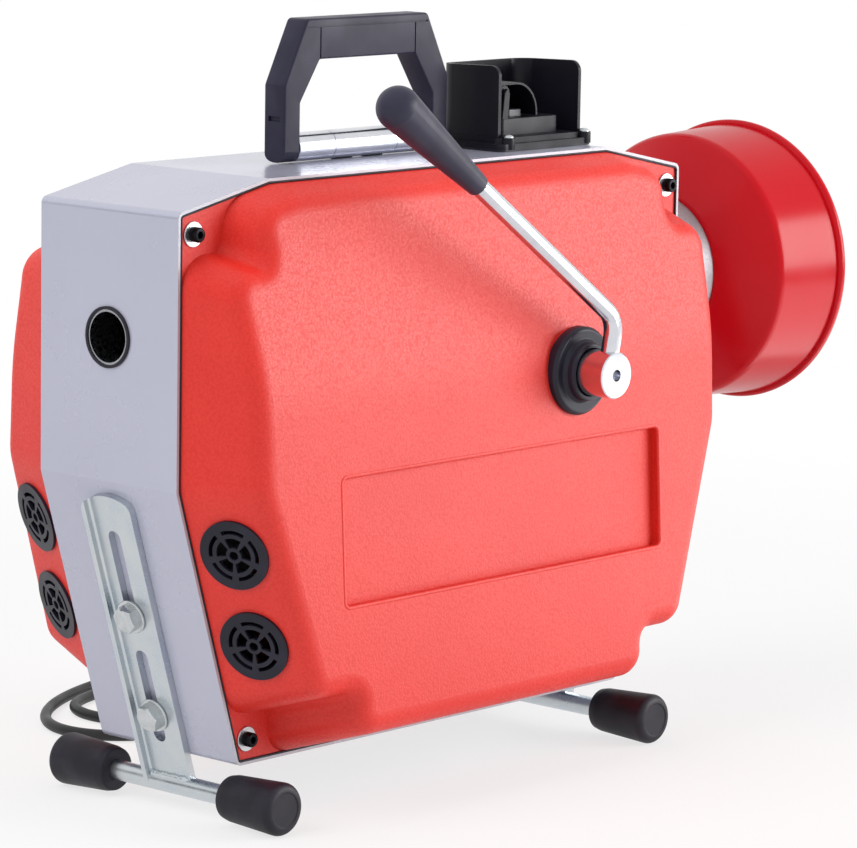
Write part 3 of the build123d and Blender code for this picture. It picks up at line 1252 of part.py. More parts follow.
def cord_gland():
    """Gland nut and tapered strain relief on the far cover."""
    x, z = GLAND_PLACE
    bore = CORD_RADIUS + PRESS_GAP
    root = -2 * COVER_WALL
    profile = [
        (root, bore), (root, GLAND_TIP_RADIUS), (0, GLAND_TIP_RADIUS), (0, GLAND_NUT_RADIUS),
        (GLAND_NUT, GLAND_NUT_RADIUS), (GLAND_NUT, GLAND_NUT_RADIUS - GLAND_STEP),
        (GLAND_LENGTH, GLAND_TIP_RADIUS), (GLAND_LENGTH, bore),
    ]
    return Pos(x, DOME_FACE, z) * Rot(-90, 0, 0) * turned(profile)


def coil_edge():
    """Outer radius of the coil."""
    return COIL_RADIUS + COIL_ROWS * CORD_RADIUS


def cord_points():
    """Route from the gland to the coil, with the end points in line with what they meet."""
    x, z = GLAND_PLACE
    start = (x, DOME_FACE + GLAND_NUT, z)
    out = (x, DOME_FACE + GLAND_LENGTH, z)
    last = (COIL_CENTRE[0] - CORD_RADIUS, COIL_CENTRE[1] + coil_edge() - CORD_RADIUS, CORD_RADIUS + FLOOR_GAP)
    return [Vector(*p) for p in [start, out] + CORD_ROUTE + [last]]


def cord_radii(points):
    """Bend radius at each inner point, as large as the runs beside it allow."""
    radii = []
    for before, here, after in zip(points, points[1:], points[2:]):
        turn = math.radians((here - before).get_angle(after - here))
        run = min((here - before).length, (after - here).length)
        radii.append(CORD_BEND_SHARE * run / math.tan(turn / 2))
    return radii


def cord_tube():
    """Cord from the gland, down to the floor and round to the coil."""
    points = cord_points()
    radii = cord_radii(points)
    path = FilletPolyline(*points, radius=radii)
    section = Plane(origin=points[0], z_dir=points[1] - points[0]) * Circle(CORD_RADIUS)
    tube = sweep(section, path=path)
    print("cord radii", [round(radius, 1) for radius in radii])
    plain = path.length * math.pi * CORD_RADIUS**2
    print("cord length", round(path.length, 1), "volume share", round(tube.volume / plain, 6))
    return tube


def cord_coil():
    """Outer shape of the put-away coil."""
    inner = COIL_RADIUS - COIL_ROWS * CORD_RADIUS
    top = FLOOR_GAP + 2 * CORD_RADIUS * COIL_LAYERS
    return rod_z(coil_edge(), FLOOR_GAP, top, *COIL_CENTRE) - rod_z(inner, 0, top + PAST, *COIL_CENTRE)


def cord_plug():
    """Two-pin plug lying beside the coil, with the cord's end in its tail."""
    shoulder = PLUG_LENGTH - PLUG_FRONT
    meet = math.sqrt(coil_edge()**2 - (coil_edge() - 2 * CORD_RADIUS)**2)
    stub = PLUG_DISTANCE - meet - SIDE_CLEARANCE
    profile = [
        (-stub, 0), (-stub, CORD_RADIUS), (0, CORD_RADIUS),
        (0, CORD_RADIUS + PLUG_TAIL), (shoulder - PLUG_NECK, CORD_RADIUS + 2 * PLUG_TAIL),
        (shoulder, PLUG_RADIUS), (PLUG_LENGTH, PLUG_RADIUS), (PLUG_LENGTH, 0),
    ]
    plug = turned(profile)
    for side in (-1, 1):
        along = (PLUG_LENGTH - PAST, PLUG_LENGTH + PLUG_PIN)
        plug += rod_z(PLUG_PIN_RADIUS, *along, 0, side * PLUG_PIN_PITCH / 2)
    x, y = COIL_CENTRE
    place = Pos(x - PLUG_DISTANCE, y - coil_edge() + CORD_RADIUS, PLUG_RADIUS + FLOOR_GAP)
    return place * Rot(0, -90, 0) * plug


# The machine

def pieces():
    """Every node by name."""
    rear, front = button_places()
    nodes = {
        "frame_band": frame_band(),
        "cover_near": cover_near(),
        "cover_far": cover_far(),
        "cover_screws": cover_screws(),
        "inlet_tube": inlet_tube(),
        "inlet_grommet": inlet_grommet(),
        "rear_bearing_plate": rear_bearing_plate(),
        "front_bearing_bracket": front_bearing_bracket(),
        "spindle_bearing_rear": bearing(REAR_PLATE_X),
        "spindle_bearing_front": bearing(FRONT_PLATE_X),
        "spindle_tube": spindle_tube(),
        "spindle_gear": spindle_gear(),
        "clamp_sleeve": clamp_sleeve(),
        "front_collar": front_collar(),
        "splash_bowl": splash_bowl(),
        "bowl_screws": bowl_screws(),
        "motor_housing": motor_housing(),
        "motor_shaft": motor_shaft(),
        "motor_pinion": motor_pinion(),
        "motor_fan": motor_fan(),
        "lever_shaft": lever_shaft(),
        "lever_return_spring": lever_return_spring(),
        "lever_fork": lever_fork(),
        "lever_hub": lever_hub(),
        "lever_rod": lever_rod(),
        "lever_grip": lever_grip(),
        "lever_seal": lever_seal(),
        "handle": handle(),
        "handle_tube": handle_tube(),
        "switch_gasket": switch_gasket(),
        "switch_base": switch_base(),
        "switch_guard": switch_guard(),
        "switch_body": switch_body(),
        "switch_flap": switch_flap(),
        "switch_screws": switch_screws(),
        "start_button": button(rear),
        "stop_button": button(front),
        "foot_bolts": foot_bolts(),
        "cord_gland": cord_gland(),
        "cord_tube": cord_tube(),
        "cord_coil": cord_coil(),
        "cord_plug": cord_plug(),
    }
    nodes.update(vents())
    for jaw, angle in enumerate(jaw_angles()):
        nodes[f"clamp_jaw_{jaw + 1}"] = clamp_jaw(angle)
    for end, name in ((-1, "rear"), (1, "front")):
        nodes[name + "_foot_plate"] = foot_plate(end)
        nodes[name + "_foot_rod"] = foot_rod(end)
        nodes[name + "_cap_near"] = foot_cap(end, -1)
        nodes[name + "_cap_far"] = foot_cap(end, 1)
    return nodes


os.makedirs("parts", exist_ok=True)
for node, shape in pieces().items():
    solids = shape if isinstance(shape, list) else [shape]
    placed = [Pos(-ORIGIN_X, -ORIGIN_Y, 0) * solid for solid in solids]
    whole = placed[0] if len(placed) == 1 else Compound(children=placed)
    export_step(whole, f"parts/{node}.step")
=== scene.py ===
import functools
import logging
import math
import random
from dataclasses import dataclass, replace
from enum import Enum

import bmesh
import bpy
from mathutils import Matrix, Vector


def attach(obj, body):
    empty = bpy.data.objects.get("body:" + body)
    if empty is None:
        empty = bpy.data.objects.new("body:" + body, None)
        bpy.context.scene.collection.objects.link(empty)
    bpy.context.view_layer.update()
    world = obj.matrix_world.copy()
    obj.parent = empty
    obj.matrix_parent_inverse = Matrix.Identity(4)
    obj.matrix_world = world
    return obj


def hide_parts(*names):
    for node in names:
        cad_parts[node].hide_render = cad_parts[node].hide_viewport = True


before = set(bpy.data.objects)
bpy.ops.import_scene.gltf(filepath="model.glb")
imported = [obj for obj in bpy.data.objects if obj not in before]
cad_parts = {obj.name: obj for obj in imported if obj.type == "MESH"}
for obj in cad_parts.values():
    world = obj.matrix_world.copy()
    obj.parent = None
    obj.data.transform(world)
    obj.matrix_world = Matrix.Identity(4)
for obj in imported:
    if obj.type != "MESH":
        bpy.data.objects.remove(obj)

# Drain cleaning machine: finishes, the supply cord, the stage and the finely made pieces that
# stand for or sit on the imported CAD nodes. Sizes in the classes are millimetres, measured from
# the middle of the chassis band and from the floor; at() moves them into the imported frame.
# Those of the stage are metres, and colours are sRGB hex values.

log = logging.getLogger("drain_machine")

Pair = tuple[float, float]
Triple = tuple[float, float, float]
Colour = tuple[float, float, float, float]

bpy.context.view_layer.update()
MM = 0.001
BAND_MIDDLE = Vector((-76.0, 15.0, 0.0))

# Angles in degrees above which an edge stays crisp: on most pieces, on carved ones and on soft ones
CRISP = 38.0
CARVED = 30.0
SOFT = 80.0
# Distances in metres within which points of a made mesh, and of a CAD mesh, are one
TOUCH = 1e-7
CAD_TOUCH = 1e-6
# How far a carving tool reaches past a piece or just outside the face that it opens, and the hair that
# keeps two faces apart, in millimetres
PAST = 20.0
OUTSIDE = 1.0
HAIR = 0.01


class Side(Enum):
    """Side of the machine, as the sign of its Y."""

    NEAR = -1
    FAR = 1


class End(Enum):
    """End of the machine, as the sign of its X."""

    REAR = -1
    FRONT = 1

    def word(self) -> str:
        """The end's name as the nodes and bodies write it."""
        return self.name.lower()


class Carving(Enum):
    """What a carving tool does to a piece, in Blender's word for it."""

    JOIN = "UNION"
    CUT = "DIFFERENCE"
    TRIM = "INTERSECT"


# Small helpers

def at(x: float, y: float, z: float) -> Vector:
    """Place in millimetres from the band's middle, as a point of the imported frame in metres."""
    return (Vector((x, y, z)) + BAND_MIDDLE) * MM


def linear(code: str) -> Colour:
    """Turn an sRGB hex colour into the linear one that Blender's sockets take.

    Args:
        code: colour such as "#B4B6C4".

    Returns:
        Linear red, green and blue, and an alpha of 1.
    """
    parts = [int(code[i:i + 2], 16) / 255 for i in (1, 3, 5)]
    red, green, blue = (c / 12.92 if c <= 0.04045 else ((c + 0.055) / 1.055) ** 2.4 for c in parts)
    return red, green, blue, 1.0


def per_metre(size_mm: float) -> float:
    """Texture scale at which one feature of a pattern is this many millimetres wide."""
    return 1.0 / (size_mm * MM)


def add_node(
    tree: bpy.types.NodeTree,
    kind: str,
    settings: dict[str, object] | None = None,
    inputs: dict[str | int, object] | None = None,
) -> bpy.types.Node:
    """Add a node with its settings and links.

    Args:
        tree: node tree that gets the node.
        kind: Blender's name for the kind of node.
        settings: the node's properties by name.
        inputs: what goes into its sockets, by name or number: an output is linked, a value is set.

    Returns:
        The new node.
    """
    made = tree.nodes.new(kind)
    for name, value in (settings or {}).items():
        setattr(made, name, value)
    for key, value in (inputs or {}).items():
        if isinstance(value, bpy.types.NodeSocket):
            tree.links.new(value, made.inputs[key])
        else:
            made.inputs[key].default_value = value
    return made


# Outlines and meshes

def inset(points: list[Pair], distance: float) -> list[Pair]:
    """Move every side of a closed clockwise outline inwards.

    Args:
        points: corners of the outline.
        distance: how far the sides move; a negative one moves them out.

    Returns:
        Corners of the moved outline.
    """
    sides = []
    for (x0, z0), (x1, z1) in zip(points, points[1:] + points[:1]):
        length = math.hypot(x1 - x0, z1 - z0)
        along = ((x1 - x0) / length, (z1 - z0) / length)
        sides.append(((x0 + along[1] * distance, z0 - along[0] * distance), along))
    moved = []
    for (p, a), (q, b) in zip(sides[-1:] + sides[:-1], sides):
        turn = a[0] * b[1] - a[1] * b[0]
        share = ((q[0] - p[0]) * b[1] - (q[1] - p[1]) * b[0]) / turn
        moved.append((p[0] + a[0] * share, p[1] + a[1] * share))
    return moved


def rounded(points: list[Pair], radii: list[float], steps: int, closed: bool = True) -> list[Pair]:
    """Round the corners of an outline.

    Args:
        points: corners of the outline.
        radii: bend radius at each corner; those of an open outline's ends aren't used.
        steps: divisions of each bend.
        closed: whether the last point joins the first.

    Returns:
        The outline with steps + 1 points for each bend.
    """
    found = []
    for i, (here, radius) in enumerate(zip(points, radii)):
        if not closed and i in (0, len(points) - 1):
            found.append(here)
            continue
        p, c, n = Vector(points[i - 1]), Vector(here), Vector(points[(i + 1) % len(points)])
        back, ahead = (p - c).normalized(), (n - c).normalized()
        half = back.angle(ahead) / 2
        first = c + back * (radius / math.tan(half))
        middle = c + (back + ahead).normalized() * (radius / math.sin(half))
        spoke = first - middle
        sweep = spoke.angle_signed(c + ahead * (radius / math.tan(half)) - middle)
        for step in range(steps + 1):
            turned = spoke.copy()
            turned.rotate(Matrix.Rotation(-sweep * step / steps, 2))
            found.append(tuple(middle + turned))
    return found


def mirrored(points: list[Pair]) -> list[Pair]:
    """Right half of an outline, top to bottom, completed with its mirror image."""
    return points + [(-x, z) for x, z in reversed(points)]


def bent(corners: tuple[Triple, ...], steps: int, closed: bool = True) -> list[Pair]:
    """Round the corners of an outline that has each bend beside its corner.

    Args:
        corners: two coordinates and the bend radius of each corner.
        steps: divisions of each bend.
        closed: whether the last point joins the first.

    Returns:
        The outline with steps + 1 points for each bend.
    """
    return rounded([(a, b) for a, b, _ in corners], [bend for _, _, bend in corners], steps, closed)


def rectangle(middle: Pair, size: Pair, corner: float, steps: int) -> list[Pair]:
    """Rectangle with round corners.

    Args:
        middle: its middle.
        size: its two lengths.
        corner: radius of its corners.
        steps: divisions of each corner.

    Returns:
        Its closed clockwise outline.
    """
    (x, y), (i, j) = middle, (length / 2 for length in size)
    return rounded([(x - i, y + j), (x + i, y + j), (x + i, y - j), (x - i, y - j)], [corner] * 4, steps)


def loft(loops: list[list[Vector]], closed: bool = False) -> bmesh.types.BMesh:
    """Skin a row of loops that have the same number of points.

    Args:
        loops: the loops in order.
        closed: whether the last loop joins the first; otherwise both ends are capped.

    Returns:
        The closed skin.
    """
    shape = bmesh.new()
    rows = [[shape.verts.new(point) for point in loop] for loop in loops]
    count = len(loops[0])
    for lower, upper in zip(rows, rows[1:] + (rows[:1] if closed else [])):
        for i in range(count):
            j = (i + 1) % count
            shape.faces.new((lower[i], lower[j], upper[j], upper[i]))
    if not closed:
        shape.faces.new(rows[0][::-1])
        shape.faces.new(rows[-1])
    bmesh.ops.remove_doubles(shape, verts=shape.verts, dist=TOUCH)
    bmesh.ops.recalc_face_normals(shape, faces=shape.faces)
    return shape


def lathe(profile: list[Pair], place: Matrix, steps: int = 96) -> bmesh.types.BMesh:
    """Turn a closed profile about local Z.

    Args:
        profile: (along, radius) points in millimetres.
        place: where local millimetres go in the frame.
        steps: divisions round the axis.

    Returns:
        The turned solid.
    """
    loops = []
    for step in range(steps):
        angle = 2 * math.pi * step / steps
        side = (math.cos(angle), math.sin(angle))
        loops.append([place @ Vector((r * side[0], r * side[1], along)) for along, r in profile])
    shape = loft(loops, closed=True)
    bmesh.ops.dissolve_degenerate(shape, dist=TOUCH, edges=shape.edges)
    bmesh.ops.recalc_face_normals(shape, faces=shape.faces)
    return shape


def bar(path: list[Pair], y: float, radius: float, steps: int = 40) -> bmesh.types.BMesh:
    """Round bar bent in a plane of constant Y.

    Args:
        path: (x, z) points of its axis in millimetres.
        y: the plane.
        radius: the bar's radius.
        steps: divisions round it.

    Returns:
        The closed bar.
    """
    points = [Vector(p) for p in path]
    loops = []
    for i, here in enumerate(points):
        before, after = points[max(i - 1, 0)], points[min(i + 1, len(points) - 1)]
        along = (after - before).normalized()
        loop = []
        for step in range(steps):
            angle = 2 * math.pi * step / steps
            off = radius * math.cos(angle)
            loop.append(at(here.x - along.y * off, y + radius * math.sin(angle), here.y + along.x * off))
        loops.append(loop)
    return loft(loops)


def bead(path: list[Pair], levels: list[float], radius: float, steps: int = 16) -> bmesh.types.BMesh:
    """Round bead that closes on itself and looks along Y.

    Args:
        path: closed clockwise (x, z) line of its middle, in millimetres.
        levels: its Y at each point of the path.
        radius: the bead's radius.
        steps: divisions round it.

    Returns:
        The closed bead.
    """
    loops = []
    for (x, z), (inner_x, inner_z), y in zip(path, inset(path, 1.0), levels):
        inwards = Vector((inner_x - x, inner_z - z)).normalized()
        loop = []
        for step in range(steps):
            angle = 2 * math.pi * step / steps
            off = radius * math.cos(angle)
            loop.append(at(x + inwards.x * off, y - radius * math.sin(angle), z + inwards.y * off))
        loops.append(loop)
    return loft(loops, closed=True)


def prism(outline: list[Pair], spans: list[Pair], place: Matrix) -> bmesh.types.BMesh:
    """Plate with softened edges.

    Args:
        outline: closed clockwise outline in local X and Y, in millimetres.
        spans: (how far the outline is moved in, local Z) of each section, in order.
        place: where local millimetres go in the frame.

    Returns:
        The closed plate.
    """
    loops = []
    for gap, z in spans:
        ring = inset(outline, gap) if gap else outline
        loops.append([place @ Vector((x, y, z)) for x, y in ring])
    return loft(loops)


def soft_spans(low: float, high: float, edge: float, steps: int = 4) -> list[Pair]:
    """Sections for prism() with both edges rounded over the same radius.

    Args:
        low: first local Z.
        high: last local Z.
        edge: radius of the edges.
        steps: divisions of each edge.

    Returns:
        (gap, Z) pairs from low to high.
    """
    quarter = [math.pi / 2 * step / steps for step in range(steps + 1)]
    rise = [(edge * (1 - math.sin(a)), edge * (1 - math.cos(a))) for a in quarter]
    return [(gap, low + up) for gap, up in rise] + [(gap, high - up) for gap, up in reversed(rise)]


def box(x: Pair, y: Pair, z: Pair) -> bmesh.types.BMesh:
    """Plain block for carving, between two X, two Y and two Z values in millimetres."""
    ring = [(x[0], y[0]), (x[0], y[1]), (x[1], y[1]), (x[1], y[0])]
    return loft([[at(px, py, level) for px, py in ring] for level in z])


def placed(origin: Vector, axis: Vector, across: Vector) -> Matrix:
    """Frame for a piece drawn in millimetres.

    Args:
        origin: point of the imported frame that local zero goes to.
        axis: direction of local Z.
        across: direction near local X.

    Returns:
        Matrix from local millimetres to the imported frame.
    """
    z = axis.normalized()
    y = z.cross(across).normalized()
    x = y.cross(z)
    turn = Matrix((x, y, z)).transposed().to_4x4()
    return Matrix.Translation(origin) @ turn @ Matrix.Scale(MM, 4)


def joined(shapes: list[bmesh.types.BMesh]) -> bmesh.types.BMesh:
    """Put several shapes into one mesh.

    Args:
        shapes: the shapes, which are freed.

    Returns:
        One shape with all of them.
    """
    whole = bmesh.new()
    for shape in shapes:
        part = bpy.data.meshes.new("part")
        shape.to_mesh(part)
        shape.free()
        whole.from_mesh(part)
        bpy.data.meshes.remove(part)
    return whole


def as_object(name: str, shape: bmesh.types.BMesh, sharp: float = CRISP) -> bpy.types.Object:
    """Turn a shape into a smooth shaded object.

    Args:
        name: the object's name.
        shape: its mesh, which is freed.
        sharp: angle in degrees above which an edge stays crisp.

    Returns:
        The linked object.
    """
    mesh = bpy.data.meshes.new(name)
    shape.to_mesh(mesh)
    shape.free()
    mesh.shade_smooth()
    mesh.set_sharp_from_angle(angle=math.radians(sharp))
    made = bpy.data.objects.new(name, mesh)
    bpy.context.scene.collection.objects.link(made)
    return made


def carve(
    piece: bpy.types.Object, tools: list[tuple[Carving, bmesh.types.BMesh]], sharp: float = CRISP,
) -> None:
    """Join tools to a piece or cut them from it, and keep the result as its mesh.

    Args:
        piece: object to work on.
        tools: (what the tool does, its shape) pairs, in order.
        sharp: angle in degrees above which an edge stays crisp.
    """
    held = []
    for carving, shape in tools:
        tool = as_object("tool", shape)
        step = piece.modifiers.new("carve", "BOOLEAN")
        step.operation = carving.value
        step.solver = "EXACT"
        step.object = tool
        held.append(tool)
    ready = piece.evaluated_get(bpy.context.evaluated_depsgraph_get())
    mesh = bpy.data.meshes.new_from_object(ready)
    piece.modifiers.clear()
    piece.data = mesh
    mesh.shade_smooth()
    mesh.set_sharp_from_angle(angle=math.radians(sharp))
    for tool in held:
        bpy.data.objects.remove(tool)


# Fasteners

# Share of a hexagon head's width that its chamfer leaves flat, and the chamfer's slope
HEX_CROWN = 0.94
HEX_CHAMFER = math.radians(30)
# Round of a socket head at its middle (distance in, distance down), and the socket's chamfer (how much
# wider than the socket, distance down)
SOCKET_ROUND = (0.5, 0.2)
SOCKET_CHAMFER = (1.1, 0.3)
# Half section of a dome headed screw as (along, radius), and the half width and reach of its cross recess
PAN_DOME = ((0.0, 0.0), (0.0, 3.9), (0.3, 4.0), (0.8, 4.0), (1.5, 3.6), (2.1, 2.7), (2.5, 1.4), (2.6, 0.0))
PAN_CROSS = (0.45, 1.9)
# Sections of the recess as (how far it is drawn in, height above the seat)
PAN_CROSS_SPANS = ((0.3, 1.1), (0.0, 3.0))
# Share of a washer's height that its broken edges take
WASHER_EDGE = 0.22


def off_flat(angle: float) -> float:
    """Angle from the middle of the nearest side of a hexagon, in radians."""
    return (angle + math.pi / 6) % (math.pi / 3) - math.pi / 6


def hex_head(flat: float, height: float, place: Matrix, steps: int = 60) -> bmesh.types.BMesh:
    """Hexagon head with its corners turned down to a chamfer.

    Args:
        flat: half the width across flats, in millimetres.
        height: its height along local Z.
        place: where local millimetres go in the frame.
        steps: divisions round the axis, a multiple of 6.

    Returns:
        The closed head.
    """
    crown = flat * HEX_CROWN
    loops: list[list[Vector]] = [[], [], [], []]
    for step in range(steps):
        angle = 2 * math.pi * step / steps
        reach = flat / math.cos(off_flat(angle))
        fall = (reach - crown) * math.tan(HEX_CHAMFER)
        rows = ((reach, 0.0), (reach, height - fall), (crown, height), (crown / 2, height))
        for loop, (radius, z) in zip(loops, rows):
            loop.append(place @ Vector((radius * math.cos(angle), radius * math.sin(angle), z)))
    return loft(loops)


def socket_head(
    radius: float,
    height: float,
    flat: float,
    place: Matrix,
    ridges: int = 36,
    knurl: float = 0.22,
    edge: float = 0.9,
) -> bmesh.types.BMesh:
    """Cylinder head with a knurled side and a hexagon socket.

    Args:
        radius: the head's radius, in millimetres.
        height: its height along local Z.
        flat: half the socket's width across flats.
        place: where local millimetres go in the frame.
        ridges: ridges of the knurl, a multiple of 3.
        knurl: depth of the ridges.
        edge: width of the round between side and top.

    Returns:
        The closed head.
    """
    loops: list[list[Vector]] = [[] for _ in range(7)]
    (inwards, down), (wider, deep) = SOCKET_ROUND, SOCKET_CHAMFER
    for step in range(2 * ridges):
        angle = math.pi * step / ridges
        key = flat / math.cos(off_flat(angle))
        side = radius - knurl * (step % 2)
        # Side, rounded edge and top, then the socket's chamfer, wall and floor
        rows = (
            (side, 0.0), (side, height - edge), (radius - inwards, height - down), (radius - edge, height),
            (key * wider, height), (key, height - deep), (key, height / 2),
        )
        for loop, (reach, z) in zip(loops, rows):
            loop.append(place @ Vector((reach * math.cos(angle), reach * math.sin(angle), z)))
    return loft(loops)


def washer(inner: float, outer: float, height: float, place: Matrix) -> bmesh.types.BMesh:
    """Flat washer with broken edges.

    Args:
        inner: radius of its hole, in millimetres.
        outer: its outer radius.
        height: its height along local Z.
        place: where local millimetres go in the frame.

    Returns:
        The closed washer.
    """
    soft = height * WASHER_EDGE
    rim = [(0.0, outer - soft), (soft, outer), (height - soft, outer), (height, outer - soft)]
    return lathe([(0.0, inner)] + rim + [(height, inner)], place, 72)


def pan_screws(name: str, places: list[Matrix]) -> bpy.types.Object:
    """Dome headed screws with a cross recess.

    Args:
        name: the piece's name.
        places: where each screw's seat goes, local Z outwards.

    Returns:
        All of the screws as one object.
    """
    w, r = PAN_CROSS
    cross = [(-w, r), (w, r), (w, w), (r, w), (r, -w), (w, -w), (w, -r), (-w, -r)]
    cross += [(-w, -w), (-r, -w), (-r, w), (-w, w)]
    piece = as_object(name, joined([lathe(list(PAN_DOME), place, 40) for place in places]))
    cuts = [prism(cross, list(PAN_CROSS_SPANS), place) for place in places]
    carve(piece, [(Carving.CUT, joined(cuts))])
    return piece


# Finishes

@dataclass(frozen=True)
class Finish:
    """What every finish has: the material's name, its colour and how rough it is."""

    name: str
    colour: str
    roughness: float

    @functools.cache
    def make(self) -> bpy.types.Material:
        """Build the material once.

        Returns:
            The material with this finish's nodes.
        """
        material = bpy.data.materials.new(self.name)
        material.use_nodes = True
        tree = material.node_tree
        shader = tree.nodes["Principled BSDF"]
        shader.inputs["Base Color"].default_value = linear(self.colour)
        shader.inputs["Roughness"].default_value = self.roughness
        place = add_node(tree, "ShaderNodeTexCoord").outputs["Object"]
        self.shade(tree, shader, place)
        return material

    def shade(self, tree: bpy.types.NodeTree, shader: bpy.types.Node, place: bpy.types.NodeSocket) -> None:
        """Add the nodes of this finish.

        Args:
            tree: the material's node tree.
            shader: its principled shader.
            place: object coordinates in metres.
        """
        raise NotImplementedError


@dataclass(frozen=True)
class GrainedAbs(Finish):
    """Moulded ABS with an etched leather grain: pebbles that break up the highlights."""

    deep_colour: str
    pebble_mm: float = 1.9
    crease_mm: float = 0.7
    grain_mm: float = 0.16
    bend_mm: float = 4.0
    bend_shift_mm: float = 1.2
    drift_mm: float = 90.0
    # Weight of the creases in the grain and of the grain in the colour, and what the grain adds to roughness
    crease_weight: float = 0.7
    tone_weight: float = 0.45
    gloss_span: Pair = (-0.07, 0.12)
    ior: float = 1.53

    def shade(self, tree: bpy.types.NodeTree, shader: bpy.types.Node, place: bpy.types.NodeSocket) -> None:
        """Pebbles and creases in the bump, a slow drift of colour, and roughness that follows the grain.

        Args:
            tree: the material's node tree.
            shader: its principled shader.
            place: object coordinates in metres.
        """
        bend = add_node(tree, "ShaderNodeTexNoise", None, {
            "Vector": place, "Scale": per_metre(self.bend_mm), "Detail": 2.0,
        })
        moved = add_node(tree, "ShaderNodeVectorMath", {"operation": "MULTIPLY_ADD"}, {
            0: bend.outputs["Color"], 1: (self.bend_shift_mm * MM,) * 3, 2: place,
        })
        pebbles = add_node(tree, "ShaderNodeTexVoronoi", {"feature": "SMOOTH_F1"}, {
            "Vector": moved.outputs["Vector"], "Scale": per_metre(self.pebble_mm), "Smoothness": 0.35,
        })
        creases = add_node(tree, "ShaderNodeTexNoise", None, {
            "Vector": place, "Scale": per_metre(self.crease_mm), "Detail": 4.0, "Roughness": 0.6,
        })
        grain = add_node(tree, "ShaderNodeMath", {"operation": "MULTIPLY_ADD"}, {
            0: creases.outputs["Fac"], 1: self.crease_weight, 2: pebbles.outputs["Distance"],
        })
        drift = add_node(tree, "ShaderNodeTexNoise", None, {
            "Vector": place, "Scale": per_metre(self.drift_mm), "Detail": 3.0,
        })
        tone = add_node(tree, "ShaderNodeMath", {"operation": "MULTIPLY_ADD", "use_clamp": True}, {
            0: grain.outputs["Value"], 1: self.tone_weight, 2: drift.outputs["Fac"],
        })
        shift = add_node(tree, "ShaderNodeMapRange", None, {
            "Value": tone.outputs["Value"], "From Min": 0.45, "From Max": 1.05,
        })
        mix = add_node(tree, "ShaderNodeMix", {"data_type": "RGBA"}, {
            0: shift.outputs["Result"], 6: linear(self.colour), 7: linear(self.deep_colour),
        })
        tree.links.new(mix.outputs[2], shader.inputs["Base Color"])
        gloss = add_node(tree, "ShaderNodeMapRange", None, {
            "Value": grain.outputs["Value"], "From Min": 0.2, "From Max": 1.1,
            "To Min": self.roughness + self.gloss_span[0], "To Max": self.roughness + self.gloss_span[1],
        })
        tree.links.new(gloss.outputs["Result"], shader.inputs["Roughness"])
        bump = add_node(tree, "ShaderNodeBump", {"invert": True}, {
            "Strength": 0.62, "Distance": self.grain_mm * MM, "Height": grain.outputs["Value"],
        })
        tree.links.new(bump.outputs["Normal"], shader.inputs["Normal"])
        shader.inputs["IOR"].default_value = self.ior


@dataclass(frozen=True)
class PowderCoat(Finish):
    """Baked powder coat on sheet steel: an even colour with a faint orange peel in its reflections."""

    peel_mm: float
    peel_depth_mm: float
    metal: float = 0.0
    coat: float = 0.0
    ior: float = 1.5
    haze_mm: float = 45.0
    # Roughness of the clearest and of the haziest patches, in shares of the coat's own
    haze_span: Pair = (0.85, 1.2)
    coat_roughness: float = 0.08

    def shade(self, tree: bpy.types.NodeTree, shader: bpy.types.Node, place: bpy.types.NodeSocket) -> None:
        """Orange peel in the bump and a slow drift in the roughness.

        Args:
            tree: the material's node tree.
            shader: its principled shader.
            place: object coordinates in metres.
        """
        peel = add_node(tree, "ShaderNodeTexNoise", None, {
            "Vector": place, "Scale": per_metre(self.peel_mm), "Detail": 2.0, "Roughness": 0.4,
        })
        haze = add_node(tree, "ShaderNodeTexNoise", None, {
            "Vector": place, "Scale": per_metre(self.haze_mm), "Detail": 4.0,
        })
        gloss = add_node(tree, "ShaderNodeMapRange", None, {
            "Value": haze.outputs["Fac"], "From Min": 0.3, "From Max": 0.7,
            "To Min": self.roughness * self.haze_span[0], "To Max": self.roughness * self.haze_span[1],
        })
        tree.links.new(gloss.outputs["Result"], shader.inputs["Roughness"])
        bump = add_node(tree, "ShaderNodeBump", None, {
            "Strength": 0.6, "Distance": self.peel_depth_mm * MM, "Height": peel.outputs["Fac"],
        })
        tree.links.new(bump.outputs["Normal"], shader.inputs["Normal"])
        shader.inputs["Metallic"].default_value = self.metal
        shader.inputs["IOR"].default_value = self.ior
        shader.inputs["Coat Weight"].default_value = self.coat
        shader.inputs["Coat Roughness"].default_value = self.coat_roughness


